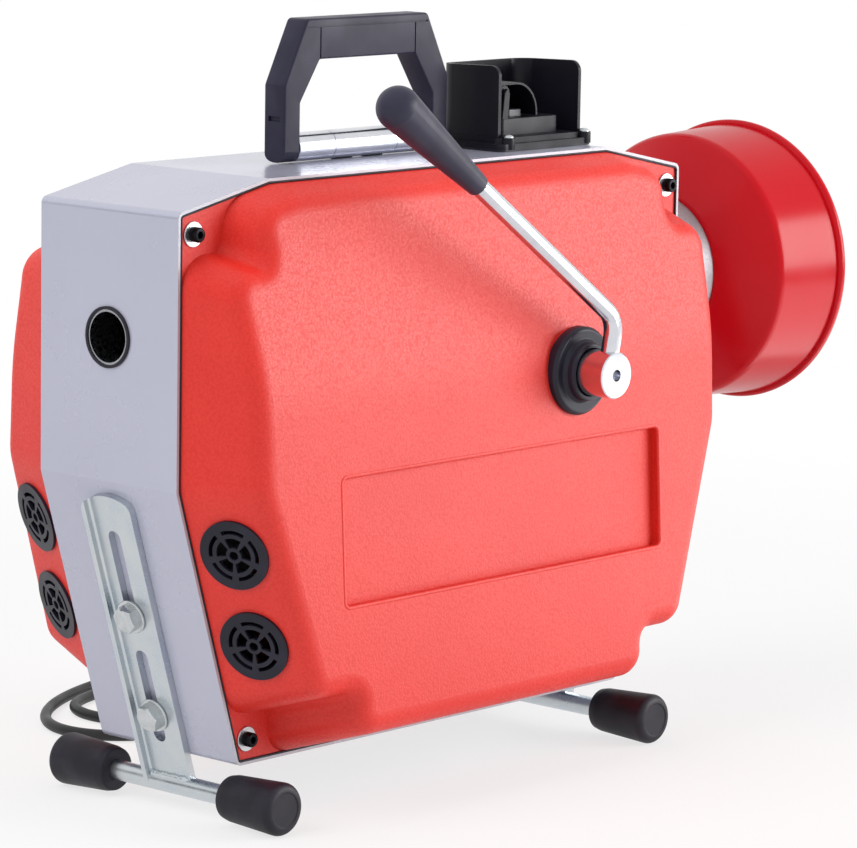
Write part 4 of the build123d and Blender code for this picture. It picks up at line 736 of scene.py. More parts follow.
@dataclass(frozen=True)
class CutSheetCoat(PowderCoat):
    """Powder coat on a cut and folded strip, with a painted highlight: pale along the strip's two cut edges.
    """

    drift_colour: str = "#B3B4C6"
    # Pale colour of the two cut edges: a painted highlight
    edge_highlight_colour: str = "#C2C3CB"
    drift_mm: float = 120.0

    def shade(self, tree: bpy.types.NodeTree, shader: bpy.types.Node, place: bpy.types.NodeSocket) -> None:
        """The plain coat, a pale painted highlight on the faces that look sideways, and a slow drift
        elsewhere.

        Args:
            tree: the material's node tree.
            shader: its principled shader.
            place: object coordinates in metres.
        """
        super().shade(tree, shader, place)
        # The faces that look sideways are the cut edges, and they get the painted highlight
        facing = add_node(tree, "ShaderNodeNewGeometry").outputs["Normal"]
        parts = add_node(tree, "ShaderNodeSeparateXYZ", None, {0: facing})
        aside = add_node(tree, "ShaderNodeMath", {"operation": "ABSOLUTE"}, {0: parts.outputs["Y"]})
        edge = add_node(tree, "ShaderNodeMapRange", None, {
            "Value": aside.outputs["Value"], "From Min": 0.8, "From Max": 0.95,
        })
        drift = add_node(tree, "ShaderNodeTexNoise", None, {
            "Vector": place, "Scale": per_metre(self.drift_mm), "Detail": 3.0,
        })
        body = add_node(tree, "ShaderNodeMix", {"data_type": "RGBA"}, {
            0: drift.outputs["Fac"], 6: linear(self.drift_colour), 7: linear(self.colour),
        })
        mix = add_node(tree, "ShaderNodeMix", {"data_type": "RGBA"}, {
            0: edge.outputs["Result"], 6: body.outputs[2], 7: linear(self.edge_highlight_colour),
        })
        tree.links.new(mix.outputs[2], shader.inputs["Base Color"])


@dataclass(frozen=True)
class MouldedPlastic(Finish):
    """Moulded plastic or rubber: a fine eroded skin that turns highlights into a soft sheen."""

    worn_colour: str
    # A moulded or extruded skin is about 0.1 mm wide, and is drawn at 0.5 to 1 mm so that it shows
    skin_mm: float
    skin_depth_mm: float
    ior: float = 1.5
    # Handled patches, and what roughness gains outside them and in them
    patch_mm: float = 26.0
    patch_span: Pair = (0.08, -0.06)

    def shade(self, tree: bpy.types.NodeTree, shader: bpy.types.Node, place: bpy.types.NodeSocket) -> None:
        """Fine skin in the bump, with paler handled patches.

        Args:
            tree: the material's node tree.
            shader: its principled shader.
            place: object coordinates in metres.
        """
        skin = add_node(tree, "ShaderNodeTexNoise", None, {
            "Vector": place, "Scale": per_metre(self.skin_mm), "Detail": 3.0, "Roughness": 0.65,
        })
        patches = add_node(tree, "ShaderNodeTexNoise", None, {
            "Vector": place, "Scale": per_metre(self.patch_mm), "Detail": 5.0,
        })
        worn = add_node(tree, "ShaderNodeMapRange", None, {
            "Value": patches.outputs["Fac"], "From Min": 0.45, "From Max": 0.75,
        })
        mix = add_node(tree, "ShaderNodeMix", {"data_type": "RGBA"}, {
            0: worn.outputs["Result"], 6: linear(self.colour), 7: linear(self.worn_colour),
        })
        tree.links.new(self.tint(tree, mix.outputs[2]), shader.inputs["Base Color"])
        gloss = add_node(tree, "ShaderNodeMapRange", None, {
            "Value": patches.outputs["Fac"], "From Min": 0.3, "From Max": 0.7,
            "To Min": self.roughness + self.patch_span[0], "To Max": self.roughness + self.patch_span[1],
        })
        tree.links.new(gloss.outputs["Result"], shader.inputs["Roughness"])
        bump = add_node(tree, "ShaderNodeBump", None, {
            "Strength": 0.5, "Distance": self.skin_depth_mm * MM, "Height": skin.outputs["Fac"],
        })
        tree.links.new(bump.outputs["Normal"], shader.inputs["Normal"])
        shader.inputs["IOR"].default_value = self.ior

    def tint(self, tree: bpy.types.NodeTree, base: bpy.types.NodeSocket) -> bpy.types.NodeSocket:
        """Last word on the colour, which is the base's own unless a finish differs."""
        return base


@dataclass(frozen=True)
class DottedKey(MouldedPlastic):
    """Push button moulded in two shots: charcoal, with a coloured dot in the middle of its top."""

    dot_colour: str = "#1B7A35"
    dot_place: Pair = (112.0, -9.0)
    dot_mm: float = 2.6
    dot_edge_mm: float = 0.2

    def tint(self, tree: bpy.types.NodeTree, base: bpy.types.NodeSocket) -> bpy.types.NodeSocket:
        """Colour the dot.

        Args:
            tree: the material's node tree.
            base: colour of the key.

        Returns:
            Output with the finished colour.
        """
        place = add_node(tree, "ShaderNodeTexCoord").outputs["Object"]
        level = add_node(tree, "ShaderNodeVectorMath", {"operation": "MULTIPLY"}, {
            0: place, 1: (1.0, 1.0, 0.0),
        })
        away = add_node(tree, "ShaderNodeVectorMath", {"operation": "DISTANCE"}, {
            0: level.outputs["Vector"], 1: tuple(at(*self.dot_place, 0.0)),
        })
        inside = add_node(tree, "ShaderNodeMapRange", None, {
            "Value": away.outputs["Value"],
            "From Min": (self.dot_mm + self.dot_edge_mm) * MM,
            "From Max": (self.dot_mm - self.dot_edge_mm) * MM,
        })
        mix = add_node(tree, "ShaderNodeMix", {"data_type": "RGBA"}, {
            0: inside.outputs["Result"], 6: base, 7: linear(self.dot_colour),
        })
        return mix.outputs[2]


@dataclass(frozen=True)
class PlatedMetal(Finish):
    """Plated or bare metal: clouded roughness, and where it has two tones a drift between them."""

    second_colour: str
    cloud_mm: float
    cloud_depth_mm: float
    spread: float

    def shade(self, tree: bpy.types.NodeTree, shader: bpy.types.Node, place: bpy.types.NodeSocket) -> None:
        """Clouds in the colour, the roughness and, faintly, the bump.

        Args:
            tree: the material's node tree.
            shader: its principled shader.
            place: object coordinates in metres.
        """
        clouds = add_node(tree, "ShaderNodeTexNoise", None, {
            "Vector": place, "Scale": per_metre(self.cloud_mm), "Detail": 5.0, "Roughness": 0.6,
        })
        drift = add_node(tree, "ShaderNodeMapRange", None, {
            "Value": clouds.outputs["Fac"], "From Min": 0.35, "From Max": 0.68,
        })
        mix = add_node(tree, "ShaderNodeMix", {"data_type": "RGBA"}, {
            0: drift.outputs["Result"], 6: linear(self.colour), 7: linear(self.second_colour),
        })
        tree.links.new(mix.outputs[2], shader.inputs["Base Color"])
        gloss = add_node(tree, "ShaderNodeMapRange", None, {
            "Value": clouds.outputs["Fac"], "From Min": 0.3, "From Max": 0.7,
            "To Min": self.roughness * (1 - self.spread), "To Max": self.roughness * (1 + self.spread),
        })
        tree.links.new(gloss.outputs["Result"], shader.inputs["Roughness"])
        bump = add_node(tree, "ShaderNodeBump", None, {
            "Strength": 0.4, "Distance": self.cloud_depth_mm * MM, "Height": clouds.outputs["Fac"],
        })
        tree.links.new(bump.outputs["Normal"], shader.inputs["Normal"])
        shader.inputs["Metallic"].default_value = 1.0


# ABS, moulded in an etched tool: a warm red whose leather grain breaks every highlight.
COVER_ABS = GrainedAbs("abs_leather_grain_red", "#EC3628", roughness=0.44, deep_colour="#DC271C")
# Powder coated sheet steel: satin blue grey, smooth enough on the flats to mirror softly.
# Its orange peel, a millimetre or two wide, is drawn at 4 mm so that it shows as a soft ripple.
BAND_COAT = CutSheetCoat(
    "steel_powder_coat_blue_grey", "#BFC0D1", roughness=0.25, peel_mm=4.0, peel_depth_mm=0.005,
    metal=0.2, coat=0.2,
)
# Stove enamelled spun steel: deep wet red with clear reflections.
BOWL_ENAMEL = PowderCoat(
    "steel_enamel_red", "#C40014", roughness=0.22, peel_mm=5.0, peel_depth_mm=0.012, ior=1.31,
)
# Nylon, moulded in an eroded tool: blue charcoal with a soft grey sheen.
BLACK_NYLON = MouldedPlastic(
    "nylon_moulded_charcoal", "#2A2839", roughness=0.42, worn_colour="#353345",
    skin_mm=0.6, skin_depth_mm=0.02, ior=1.3,
)
# ABS, moulded in an eroded tool: a deeper black than the nylon, for the switch and its guard. The black is
# partly the plastic's own and partly painted shade.
BLACK_ABS = MouldedPlastic(
    "abs_moulded_black", "#13121A", roughness=0.4, worn_colour="#1B1A23",
    skin_mm=0.6, skin_depth_mm=0.02, ior=1.3,
)
# Nylon, moulded in a polished tool: black with a livelier sheen, for the vents.
SATIN_NYLON = MouldedPlastic(
    "nylon_satin_black", "#1F1E2A", roughness=0.36, worn_colour="#292836",
    skin_mm=0.6, skin_depth_mm=0.012, ior=1.33,
)
# Nitrile rubber, moulded in a polished tool: the vents' black and sheen, on the lever's seal.
SEAL_RUBBER = replace(SATIN_NYLON, name="nitrile_rubber_satin_black")
# PVC, dipped and cured: slate black with a soft glow along its round.
DIPPED_PVC = MouldedPlastic(
    "pvc_dipped_slate", "#302F40", roughness=0.4, worn_colour="#3A394B",
    skin_mm=0.6, skin_depth_mm=0.012, ior=1.33,
)
# Natural rubber, moulded: dull black that pales a little where it is handled.
BLACK_RUBBER = MouldedPlastic(
    "rubber_moulded_black", "#1A1821", roughness=0.52, worn_colour="#2A2833",
    skin_mm=0.8, skin_depth_mm=0.03, ior=1.4,
)
# Rubber sheath, extruded: dull black with a long soft highlight.
CORD_RUBBER = MouldedPlastic(
    "rubber_extruded_black", "#101012", roughness=0.46, worn_colour="#19191C",
    skin_mm=0.5, skin_depth_mm=0.015,
)
# ABS, moulded in two shots and polished: charcoal keys with a clear bright dot.
START_KEY = DottedKey(
    "abs_two_shot_green", "#4A4A52", roughness=0.3, worn_colour="#55555D",
    skin_mm=1.0, skin_depth_mm=0.005,
)
STOP_KEY = replace(START_KEY, name="abs_two_shot_red", dot_colour="#B51A1A", dot_place=(127.0, -9.0))
# Steel, polished and chromium plated: a near mirror with faint haze.
CHROME = PlatedMetal(
    "steel_chromium_plate", "#DCDDE2", roughness=0.14, second_colour="#CDCFD6",
    cloud_mm=18.0, cloud_depth_mm=0.002, spread=0.35,
)
# Steel, zinc plated and passivated: cool grey metal with pale clouds.
ZINC = PlatedMetal(
    "steel_zinc_plate", "#C2CAD0", roughness=0.3, second_colour="#D0D4D6",
    cloud_mm=22.0, cloud_depth_mm=0.02, spread=0.25,
)
# Steel, zinc plated after turning: tighter clouds and a brighter gleam, on bolts, washers and screws.
BRIGHT_ZINC = PlatedMetal(
    "steel_zinc_plate_bright", "#CDD0D3", roughness=0.24, second_colour="#BFC3C4",
    cloud_mm=6.0, cloud_depth_mm=0.01, spread=0.3,
)
# Steel, blackened in hot oxide: nearly black metal with a dull gleam.
BLACK_OXIDE = PlatedMetal(
    "steel_black_oxide", "#1A1A1D", roughness=0.36, second_colour="#242428",
    cloud_mm=3.0, cloud_depth_mm=0.01, spread=0.3,
)
# Steel, turned and ground: clean grey metal.
GROUND_STEEL = PlatedMetal(
    "steel_ground", "#A9ABAF", roughness=0.28, second_colour="#9C9EA3",
    cloud_mm=2.5, cloud_depth_mm=0.006, spread=0.3,
)
# Steel, hobbed and oiled: darker metal with oily clouds.
GEAR_STEEL = PlatedMetal(
    "steel_hobbed_oiled", "#7C7C80", roughness=0.3, second_colour="#66666A",
    cloud_mm=9.0, cloud_depth_mm=0.01, spread=0.4,
)
# Aluminium, sand cast: pale grey metal with a pitted skin.
CAST_ALLOY = PlatedMetal(
    "aluminium_sand_cast", "#B4B6BA", roughness=0.5, second_colour="#A6A8AD",
    cloud_mm=1.8, cloud_depth_mm=0.08, spread=0.2,
)
# Brass, nickel plated: warm pale metal, on the plug's contact pins.
NICKEL = PlatedMetal(
    "brass_nickel_plate", "#CFCAC0", roughness=0.18, second_colour="#C6C0B4",
    cloud_mm=4.0, cloud_depth_mm=0.004, spread=0.3,
)


# Stage

@dataclass(frozen=True)
class SoftBox:
    """Soft lamp of the studio, in metres and watts."""

    name: str
    place: Triple
    size: Pair
    power: float
    aim: Triple = (0.0, 0.0, 0.25)
    in_gloss: bool = True
    in_diffuse: bool = True

    def hang(self) -> None:
        """Add the lamp, out of the camera's sight."""
        data = bpy.data.lights.new(self.name, "AREA")
        data.shape = "RECTANGLE"
        data.size, data.size_y = self.size
        data.energy = self.power
        made = bpy.data.objects.new(self.name, data)
        made.location = self.place
        look = Vector(self.aim) - Vector(self.place)
        made.rotation_euler = look.to_track_quat("-Z", "Y").to_euler()
        made.visible_camera = False
        made.visible_glossy = self.in_gloss
        made.visible_diffuse = self.in_diffuse
        bpy.context.scene.collection.objects.link(made)


@dataclass
class Stage:
    """Pale floor, soft studio light and white surroundings, with dark screens that metal mirrors."""

    floor_half: float = 40.0
    floor_drop: float = 0.0003
    floor_colour: str = "#F4F4F4"
    near_glow: float = 0.72
    fade: Pair = (0.55, 1.5)
    sky: float = 0.42
    lamps: tuple[SoftBox, ...] = (
        SoftBox("key_light", (2.2, -2.3, 0.95), (2.4, 1.5), 84.0),
        SoftBox("top_light", (-0.5, 0.3, 3.0), (2.2, 2.2), 24.0, in_gloss=False),
        SoftBox("fill_light", (-2.7, 0.3, 2.2), (1.8, 1.8), 38.0, in_gloss=False),
        SoftBox("shine_card", (0.95, -0.65, 0.02), (1.3, 1.1), 11.0, (0.95, -0.65, 1.0), in_diffuse=False),
    )
    screens: tuple[tuple[str, Triple, Pair], ...] = (
        ("rear_screen", (-2.4, 1.9, 0.8), (1.6, 2.2)),
        ("top_screen", (0.4, 1.6, 2.6), (2.6, 0.8)),
    )
    screen_colour: str = "#1C1C1E"
    screen_aim: Triple = (0.0, 0.0, 0.3)
    screen_core: float = 0.35

    def build(self) -> None:
        """Lay the floor, hang the lamps and screens and set the world."""
        self.floor()
        for lamp in self.lamps:
            lamp.hang()
        for name, place, size in self.screens:
            self.screen(name, place, size)
        self.world()
        bpy.context.scene.view_settings.view_transform = "Standard"

    def seen_white(self, tree: bpy.types.NodeTree) -> bpy.types.NodeSocket:
        """Light path factor that is 1 for rays that look at the surroundings, straight or in a reflection.

        Args:
            tree: node tree of the floor or the world.

        Returns:
            Output with the factor.
        """
        path = add_node(tree, "ShaderNodeLightPath")
        first = add_node(tree, "ShaderNodeMath", {"operation": "MAXIMUM"}, {
            0: path.outputs["Is Camera Ray"], 1: path.outputs["Is Glossy Ray"],
        })
        both = add_node(tree, "ShaderNodeMath", {"operation": "MAXIMUM"}, {
            0: first.outputs["Value"], 1: path.outputs["Is Transmission Ray"],
        })
        return both.outputs["Value"]

    def floor(self) -> None:
        """Lay a plain floor that looks white, most so away from the machine, and keeps its shadow."""
        shape = bmesh.new()
        bmesh.ops.create_grid(shape, x_segments=1, y_segments=1, size=self.floor_half)
        made = as_object("floor", shape)
        made.location.z = -self.floor_drop
        material = bpy.data.materials.new("paper_white_floor")
        material.use_nodes = True
        tree = material.node_tree
        tree.nodes.remove(tree.nodes["Principled BSDF"])
        place = add_node(tree, "ShaderNodeTexCoord").outputs["Object"]
        away = add_node(tree, "ShaderNodeVectorMath", {"operation": "LENGTH"}, {0: place})
        glowing = add_node(tree, "ShaderNodeMapRange", {"interpolation_type": "SMOOTHSTEP"}, {
            "Value": away.outputs["Value"], "From Min": self.fade[0], "From Max": self.fade[1],
            "To Min": self.near_glow, "To Max": 1.0,
        })
        paper = add_node(tree, "ShaderNodeBsdfDiffuse", None, {"Color": linear(self.floor_colour)})
        glow = add_node(tree, "ShaderNodeEmission", None, {"Strength": 1.0})
        lifted = add_node(tree, "ShaderNodeMixShader", None, {
            0: glowing.outputs["Result"], 1: paper.outputs[0], 2: glow.outputs[0],
        })
        seen = add_node(tree, "ShaderNodeMixShader", None, {
            0: self.seen_white(tree), 1: paper.outputs[0], 2: lifted.outputs[0],
        })
        tree.links.new(seen.outputs[0], tree.nodes["Material Output"].inputs["Surface"])
        made.data.materials.append(material)

    def screen(self, name: str, place: Triple, size: Pair) -> None:
        """Stand one dark screen that thins out towards its edges and only shows in reflections.

        Args:
            name: the screen's name.
            place: its middle, in metres.
            size: its width and height, in metres.
        """
        half = (size[0] / 2, size[1] / 2)
        turn = (Vector(self.screen_aim) - Vector(place)).to_track_quat("Z", "Y").to_matrix().to_4x4()
        where = Matrix.Translation(place) @ turn
        shape = bmesh.new()
        corners = ((-1, -1), (1, -1), (1, 1), (-1, 1))
        spots = [where @ Vector((x * half[0], y * half[1], 0.0)) for x, y in corners]
        shape.faces.new([shape.verts.new(spot) for spot in spots])
        made = as_object(name, shape)
        material = bpy.data.materials.new("cloth_black_velvet")
        material.use_nodes = True
        tree = material.node_tree
        tree.nodes.remove(tree.nodes["Principled BSDF"])
        cloth = add_node(tree, "ShaderNodeBsdfDiffuse", None, {"Color": linear(self.screen_colour)})
        clear = add_node(tree, "ShaderNodeBsdfTransparent")
        across = add_node(tree, "ShaderNodeTexCoord").outputs["Object"]
        away = add_node(tree, "ShaderNodeVectorMath", {"operation": "DISTANCE"}, {0: across, 1: place})
        thin = add_node(tree, "ShaderNodeMapRange", {"interpolation_type": "SMOOTHSTEP"}, {
            "Value": away.outputs["Value"], "From Min": min(half) * self.screen_core, "From Max": min(half),
        })
        soft = add_node(tree, "ShaderNodeMixShader", None, {
            0: thin.outputs["Result"], 1: cloth.outputs[0], 2: clear.outputs[0],
        })
        tree.links.new(soft.outputs[0], tree.nodes["Material Output"].inputs["Surface"])
        made.data.materials.append(material)
        made.visible_camera = False
        made.visible_diffuse = False
        made.visible_shadow = False
        made.visible_transmission = False

    def world(self) -> None:
        """Set soft light from all round that looks white."""
        world = bpy.data.worlds.new("studio")
        world.use_nodes = True
        tree = world.node_tree
        tree.nodes.clear()
        shade = linear("#FFFFFF")
        soft = add_node(tree, "ShaderNodeBackground", None, {"Color": shade, "Strength": self.sky})
        white = add_node(tree, "ShaderNodeBackground", None, {"Color": shade, "Strength": 1.0})
        mix = add_node(tree, "ShaderNodeMixShader", None, {
            0: self.seen_white(tree), 1: soft.outputs[0], 2: white.outputs[0],
        })
        add_node(tree, "ShaderNodeOutputWorld", None, {"Surface": mix.outputs[0]})
        bpy.context.scene.world = world


@dataclass
class PhotoCamera:
    """Camera at the photograph's viewing angle: long lens, a little above and behind the lever side."""

    place: Triple = (-2254.539, -2083.334, 737.436)
    azimuth: float = 41.99107
    pitch: float = 9.08951
    roll: float = 0.96993
    focal_px: float = 4400.0
    width_px: float = 857.0
    sensor: float = 36.0
    clip: Pair = (0.1, 100.0)

    def build(self) -> None:
        """Add the camera and make it the scene's."""
        a, p, r = (math.radians(x) for x in (self.azimuth, self.pitch, self.roll))
        ahead = Vector((math.cos(a) * math.cos(p), math.sin(a) * math.cos(p), -math.sin(p)))
        level = Vector((math.sin(a), -math.cos(a), 0.0))
        up = level.cross(ahead)
        right = level * math.cos(r) + up * math.sin(r)
        top = up * math.cos(r) - level * math.sin(r)
        data = bpy.data.cameras.new("photo_camera")
        data.sensor_width = self.sensor
        data.lens = self.focal_px / self.width_px * self.sensor
        data.clip_start, data.clip_end = self.clip
        made = bpy.data.objects.new("photo_camera", data)
        turn = Matrix((right, top, -ahead)).transposed().to_4x4()
        made.matrix_world = Matrix.Translation(at(*self.place)) @ turn
        bpy.context.scene.collection.objects.link(made)
        bpy.context.scene.camera = made


# Sub-assemblies

@dataclass
class SubAssembly:
    """Group of pieces that are made together."""

    body: str = "chassis"
    soft_angle: float = 40.0
    soft_steps: int = 3

    def dress(self, finish: Finish, *nodes: str) -> None:
        """Give CAD nodes their finish.

        Args:
            finish: finish to assign.
            nodes: names of the nodes.
        """
        for name in nodes:
            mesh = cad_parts[name].data
            mesh.materials.clear()
            mesh.materials.append(finish.make())
            log.info("dressed %s with %s", name, finish.name)

    def soften(self, edge_mm: float, *nodes: str) -> None:
        """Break the sharp edges of CAD nodes with a small round.

        Args:
            edge_mm: width of the round.
            nodes: names of the nodes.
        """
        for name in nodes:
            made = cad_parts[name]
            weld = made.modifiers.new("weld", "WELD")
            weld.merge_threshold = CAD_TOUCH
            edge = made.modifiers.new("edges", "BEVEL")
            edge.width = edge_mm * MM
            edge.segments = self.soft_steps
            edge.limit_method = "ANGLE"
            edge.angle_limit = math.radians(self.soft_angle)
            edge.harden_normals = True

    def add(
        self,
        piece: bpy.types.Object,
        finish: Finish,
        slot: str,
        stands_for: tuple[str, ...] = (),
        body: str | None = None,
    ) -> bpy.types.Object:
        """Finish a new piece and let it ride.

        Args:
            piece: the new object, in place.
            finish: its finish.
            slot: the record's material slot; not used.
            stands_for: CAD nodes that it replaces.
            body: CAD body that it rides on, if not the group's own.

        Returns:
            The piece.
        """
        piece.data.materials.clear()
        piece.data.materials.append(finish.make())
        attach(piece, body or self.body)
        if stands_for:
            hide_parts(*stands_for)
        log.info("made %s", piece.name)
        return piece

    def build(self) -> None:
        """Make and dress the group's pieces."""
        raise NotImplementedError


@dataclass
class SupplyCord(SubAssembly):
    """Rubber cord from the far cover to the floor, its loose loops, the put-away coil and the plug."""

    radius: float = 4.1
    fit: float = 0.05
    coil_centre: Pair = (236.0, 236.0)
    coil_rows: tuple[float, ...] = (54.6, 46.2, 37.8, 29.4)
    coil_floor: float = 5.1
    coil_rise: float = 8.4
    coil_steps: int = 16
    # Share of a turn over which the cord moves to the next row, and where it does so in the upper layer
    coil_shift: float = 0.25
    upper_shift_start: float = 0.5
    tie_width: float = 9.0
    tie_sheet: float = 0.7
    # Gland nut: radius over its corners and height. Boot: (along, radius) corners, one rib's among them
    gland: Triple = (35.0, 123.5, 96.0)
    gland_nut: Pair = (12.0, 8.0)
    boot_root: Pair = (8.0, 8.0)
    boot_rib: tuple[Pair, ...] = ((10.0, 7.9), (10.4, 6.8), (11.4, 6.7), (11.8, 7.7))
    boot_ribs: int = 5
    boot_pitch: float = 3.8
    boot_taper: float = 0.5
    boot_tip: tuple[Pair, ...] = ((29.4, 5.7), (30.0, 5.2))
    # Plug: (along, radius) corners of one rib of its tail and of its body, from the cord to the pins and back
    plug_tail: Triple = (196.0, 181.7, 16.05)
    plug_length: float = 42.0
    tail_root: Pair = (0.0, 6.2)
    tail_rib: tuple[Pair, ...] = ((2.5, 6.3), (2.5, 5.2), (4.1, 5.3), (4.1, 6.5))
    tail_ribs: int = 4
    tail_pitch: float = 4.0
    tail_growth: float = 0.35
    plug_corners: tuple[Pair, ...] = (
        (20.0, 8.6), (23.0, 11.0), (26.0, 14.6), (29.0, 15.8), (40.6, 16.0), (42.0, 15.0), (42.0, 13.0),
        (41.2, 12.0), (41.2, 0.0), (8.0, 0.0),
    )
    flutes: int = 12
    flute_span: Pair = (26.0, 41.5)
    flute_floor: float = 13.5
    flute_depth: float = 0.045
    pin_length: float = 19.0
    pin_radius: float = 2.4
    pin_pitch: float = 19.0
    pin_root: float = 1.0
    # Pin's tip as (distance back, distance in), its reach into the sleeve; the sleeve's length, wall and edge
    pin_tip: tuple[Pair, ...] = ((1.4, 0.0), (0.4, 0.9), (0.0, 1.8))
    pin_lap: float = 1.0
    pin_sleeve: Triple = (10.0, 0.25, 0.4)
    # Last two points of the cord, ahead of the plug's tail and inside it
    lead_in: Pair = (22.0, 14.6)
    lead_depth: float = 3.0
    length: float = 2.98
    route: tuple[Triple, ...] = (
        (35.0, 131.5, 96.0), (35.0, 153.5, 96.0), (34.0, 174.0, 85.0), (31.0, 188.0, 65.0),
        (24.0, 192.0, 42.0), (11.0, 191.0, 22.0), (-7.0, 188.0, 9.0), (-28.0, 191.0, 4.2),
        (-44.0, 206.0, 4.2), (-51.0, 227.0, 4.2), (-48.0, 249.0, 4.2), (-35.0, 268.0, 4.2),
        (-14.0, 279.0, 4.2), (15.0, 286.0, 4.2), (46.0, 284.0, 4.2), (73.0, 268.0, 4.2),
        (88.0, 240.0, 4.2), (83.0, 208.0, 4.2), (58.0, 180.0, 4.2), (20.0, 161.0, 4.2),
        (-26.0, 152.0, 4.2), (-66.0, 158.0, 4.2), (-93.0, 183.0, 4.2), (-99.0, 218.0, 4.2),
        (-81.0, 252.0, 4.2), (-43.0, 282.0, 4.2), (6.0, 303.0, 4.2), (60.0, 313.0, 4.2),
        (114.0, 312.0, 4.2), (160.0, 302.0, 4.2), (198.0, 294.0, 4.4),
    )

    def build(self) -> None:
        """Make the cord first, then what is on it."""
        cord = self.cord()
        tie = self.tie()
        plug, pins, sleeves = self.plug()
        relief = self.strain_relief()
        tuple(at(*self.route[0]))

    def coil(self) -> list[Vector]:
        """Control points of the put-away coil, two layers of turns laid from the outside in and back out.

        Returns:
            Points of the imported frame, in metres.
        """
        steps = self.coil_steps
        grow = 1 / math.cos(math.pi / steps)
        lower, upper = self.coil_floor, self.coil_floor + self.coil_rise
        inner = len(self.coil_rows) - 1
        found = []
        for turn in range(2 * len(self.coil_rows)):
            first_layer = turn <= inner
            row = turn if first_layer else 2 * inner + 1 - turn
            last = turn == 2 * inner + 1
            for step in range(steps // 2 + 1 if last else steps):
                share = step / steps
                radius, height = self.coil_rows[row], lower if first_layer else upper
                if first_layer and share > 1 - self.coil_shift:
                    ease = (share - 1 + self.coil_shift) / self.coil_shift
                    if turn < inner:
                        radius += (self.coil_rows[row + 1] - radius) * ease
                    else:
                        height += self.coil_rise * ease
                elif not first_layer and not last and share > self.upper_shift_start:
                    ease = min(1.0, (share - self.upper_shift_start) / self.coil_shift)
                    radius += (self.coil_rows[row - 1] - radius) * ease
                angle = math.pi / 2 - 2 * math.pi * share
                x = self.coil_centre[0] + radius * grow * math.cos(angle)
                y = self.coil_centre[1] + radius * grow * math.sin(angle)
                found.append(at(x, y, height))
        return found

    def cord(self) -> bpy.types.Object:
        """Lay the cord on one smooth spline.

        Returns:
            The cord's curve.
        """
        data = bpy.data.curves.new("supply_cord", "CURVE")
        data.dimensions = "3D"
        data.bevel_depth = self.radius * MM
        data.bevel_resolution = 6
        data.use_fill_caps = True
        data.resolution_u = 8
        (x, y, z), (ahead, rise) = self.plug_tail, self.lead_in
        end = [at(x + ahead, y, rise), at(x - self.lead_depth, y, z)]
        points = [at(*place) for place in self.route] + self.coil() + end
        spline = data.splines.new("NURBS")
        spline.points.add(len(points) - 1)
        for point, place in zip(spline.points, points):
            point.co = (*place, 1.0)
        spline.order_u = 3
        spline.use_endpoint_u = True
        made = bpy.data.objects.new("supply_cord", data)
        bpy.context.scene.collection.objects.link(made)
        return self.add(made, CORD_RUBBER, "cord_rubber", ("cord_tube", "cord_coil"))

    def tie(self) -> bpy.types.Object:
        """Strap round the coil's turns, where they lie side by side.

        Returns:
            The strap.
        """
        inner, outer = self.coil_rows[-1] - self.radius, self.coil_rows[0] + self.radius
        low = self.coil_floor - self.radius
        high = self.coil_floor + self.coil_rise + self.radius
        section = [(inner, high), (outer, high), (outer, low), (inner, low)]
        loops = []
        for grow in (self.fit, self.fit + self.tie_sheet):
            loops.append(rounded(inset(section, -grow), [self.radius + grow] * 4, 8))
        half = self.tie_width / 2
        rows = [(loops[0], -half), (loops[1], -half), (loops[1], half), (loops[0], half)]
        x, y = self.coil_centre
        shape = loft([[at(x + r, y + side, z) for r, z in ring] for ring, side in rows], closed=True)
        return self.add(as_object("cord_tie", shape), BLACK_NYLON, "black_plastic")

    def plug(self) -> tuple[bpy.types.Object, bpy.types.Object, bpy.types.Object]:
        """Two-pin plug with a fluted body, insulated pin roots and a ribbed tail.

        Returns:
            The body, the pins and the pins' sleeves.
        """
        place = placed(at(*self.plug_tail), Vector((-1, 0, 0)), Vector((0, 1, 0)))
        bore = self.radius + self.fit
        profile = [(self.tail_root[0], bore), self.tail_root]
        for rib in range(self.tail_ribs):
            on, grow = rib * self.tail_pitch, rib * self.tail_growth
            profile += [(along + on, radius + grow) for along, radius in self.tail_rib]
        profile += [*self.plug_corners, (self.plug_corners[-1][0], bore)]
        shape = lathe(profile, place)
        axis = place.inverted()
        for vert in shape.verts:
            local = axis @ vert.co
            low, high = self.flute_span
            if low < local.z < high and math.hypot(local.x, local.y) > self.flute_floor:
                wave = 0.5 + 0.5 * math.cos(self.flutes * math.atan2(local.y, local.x))
                flute = 1 - self.flute_depth * wave
                vert.co = place @ Vector((local.x * flute, local.y * flute, local.z))
        plug = self.add(as_object("plug_body", shape), BLACK_RUBBER, "cord_rubber", ("cord_plug",))
        pins, sleeves = [], []
        for side in (-1, 1):
            seat = (side * self.pin_pitch / 2, 0.0, self.plug_length - self.pin_root)
            root = place @ Matrix.Translation(seat)
            r, tip = self.pin_radius, self.pin_length + self.pin_root
            cover, skin, edge = self.pin_sleeve
            start = cover - self.pin_lap
            pin = [(start, 0.0), (start, r), *((tip - back, r - inwards) for back, inwards in self.pin_tip)]
            pins.append(lathe([*pin, (tip, 0.0)], root, 32))
            sleeve = [(0.0, 0.0), (0.0, r + skin), (cover - edge, r + skin), (cover, r), (cover, 0.0)]
            sleeves.append(lathe(sleeve, root, 32))
        metal = self.add(as_object("plug_pins", joined(pins)), NICKEL, "chrome")
        black = self.add(as_object("plug_pin_sleeves", joined(sleeves)), BLACK_NYLON, "black_plastic")
        return plug, metal, black

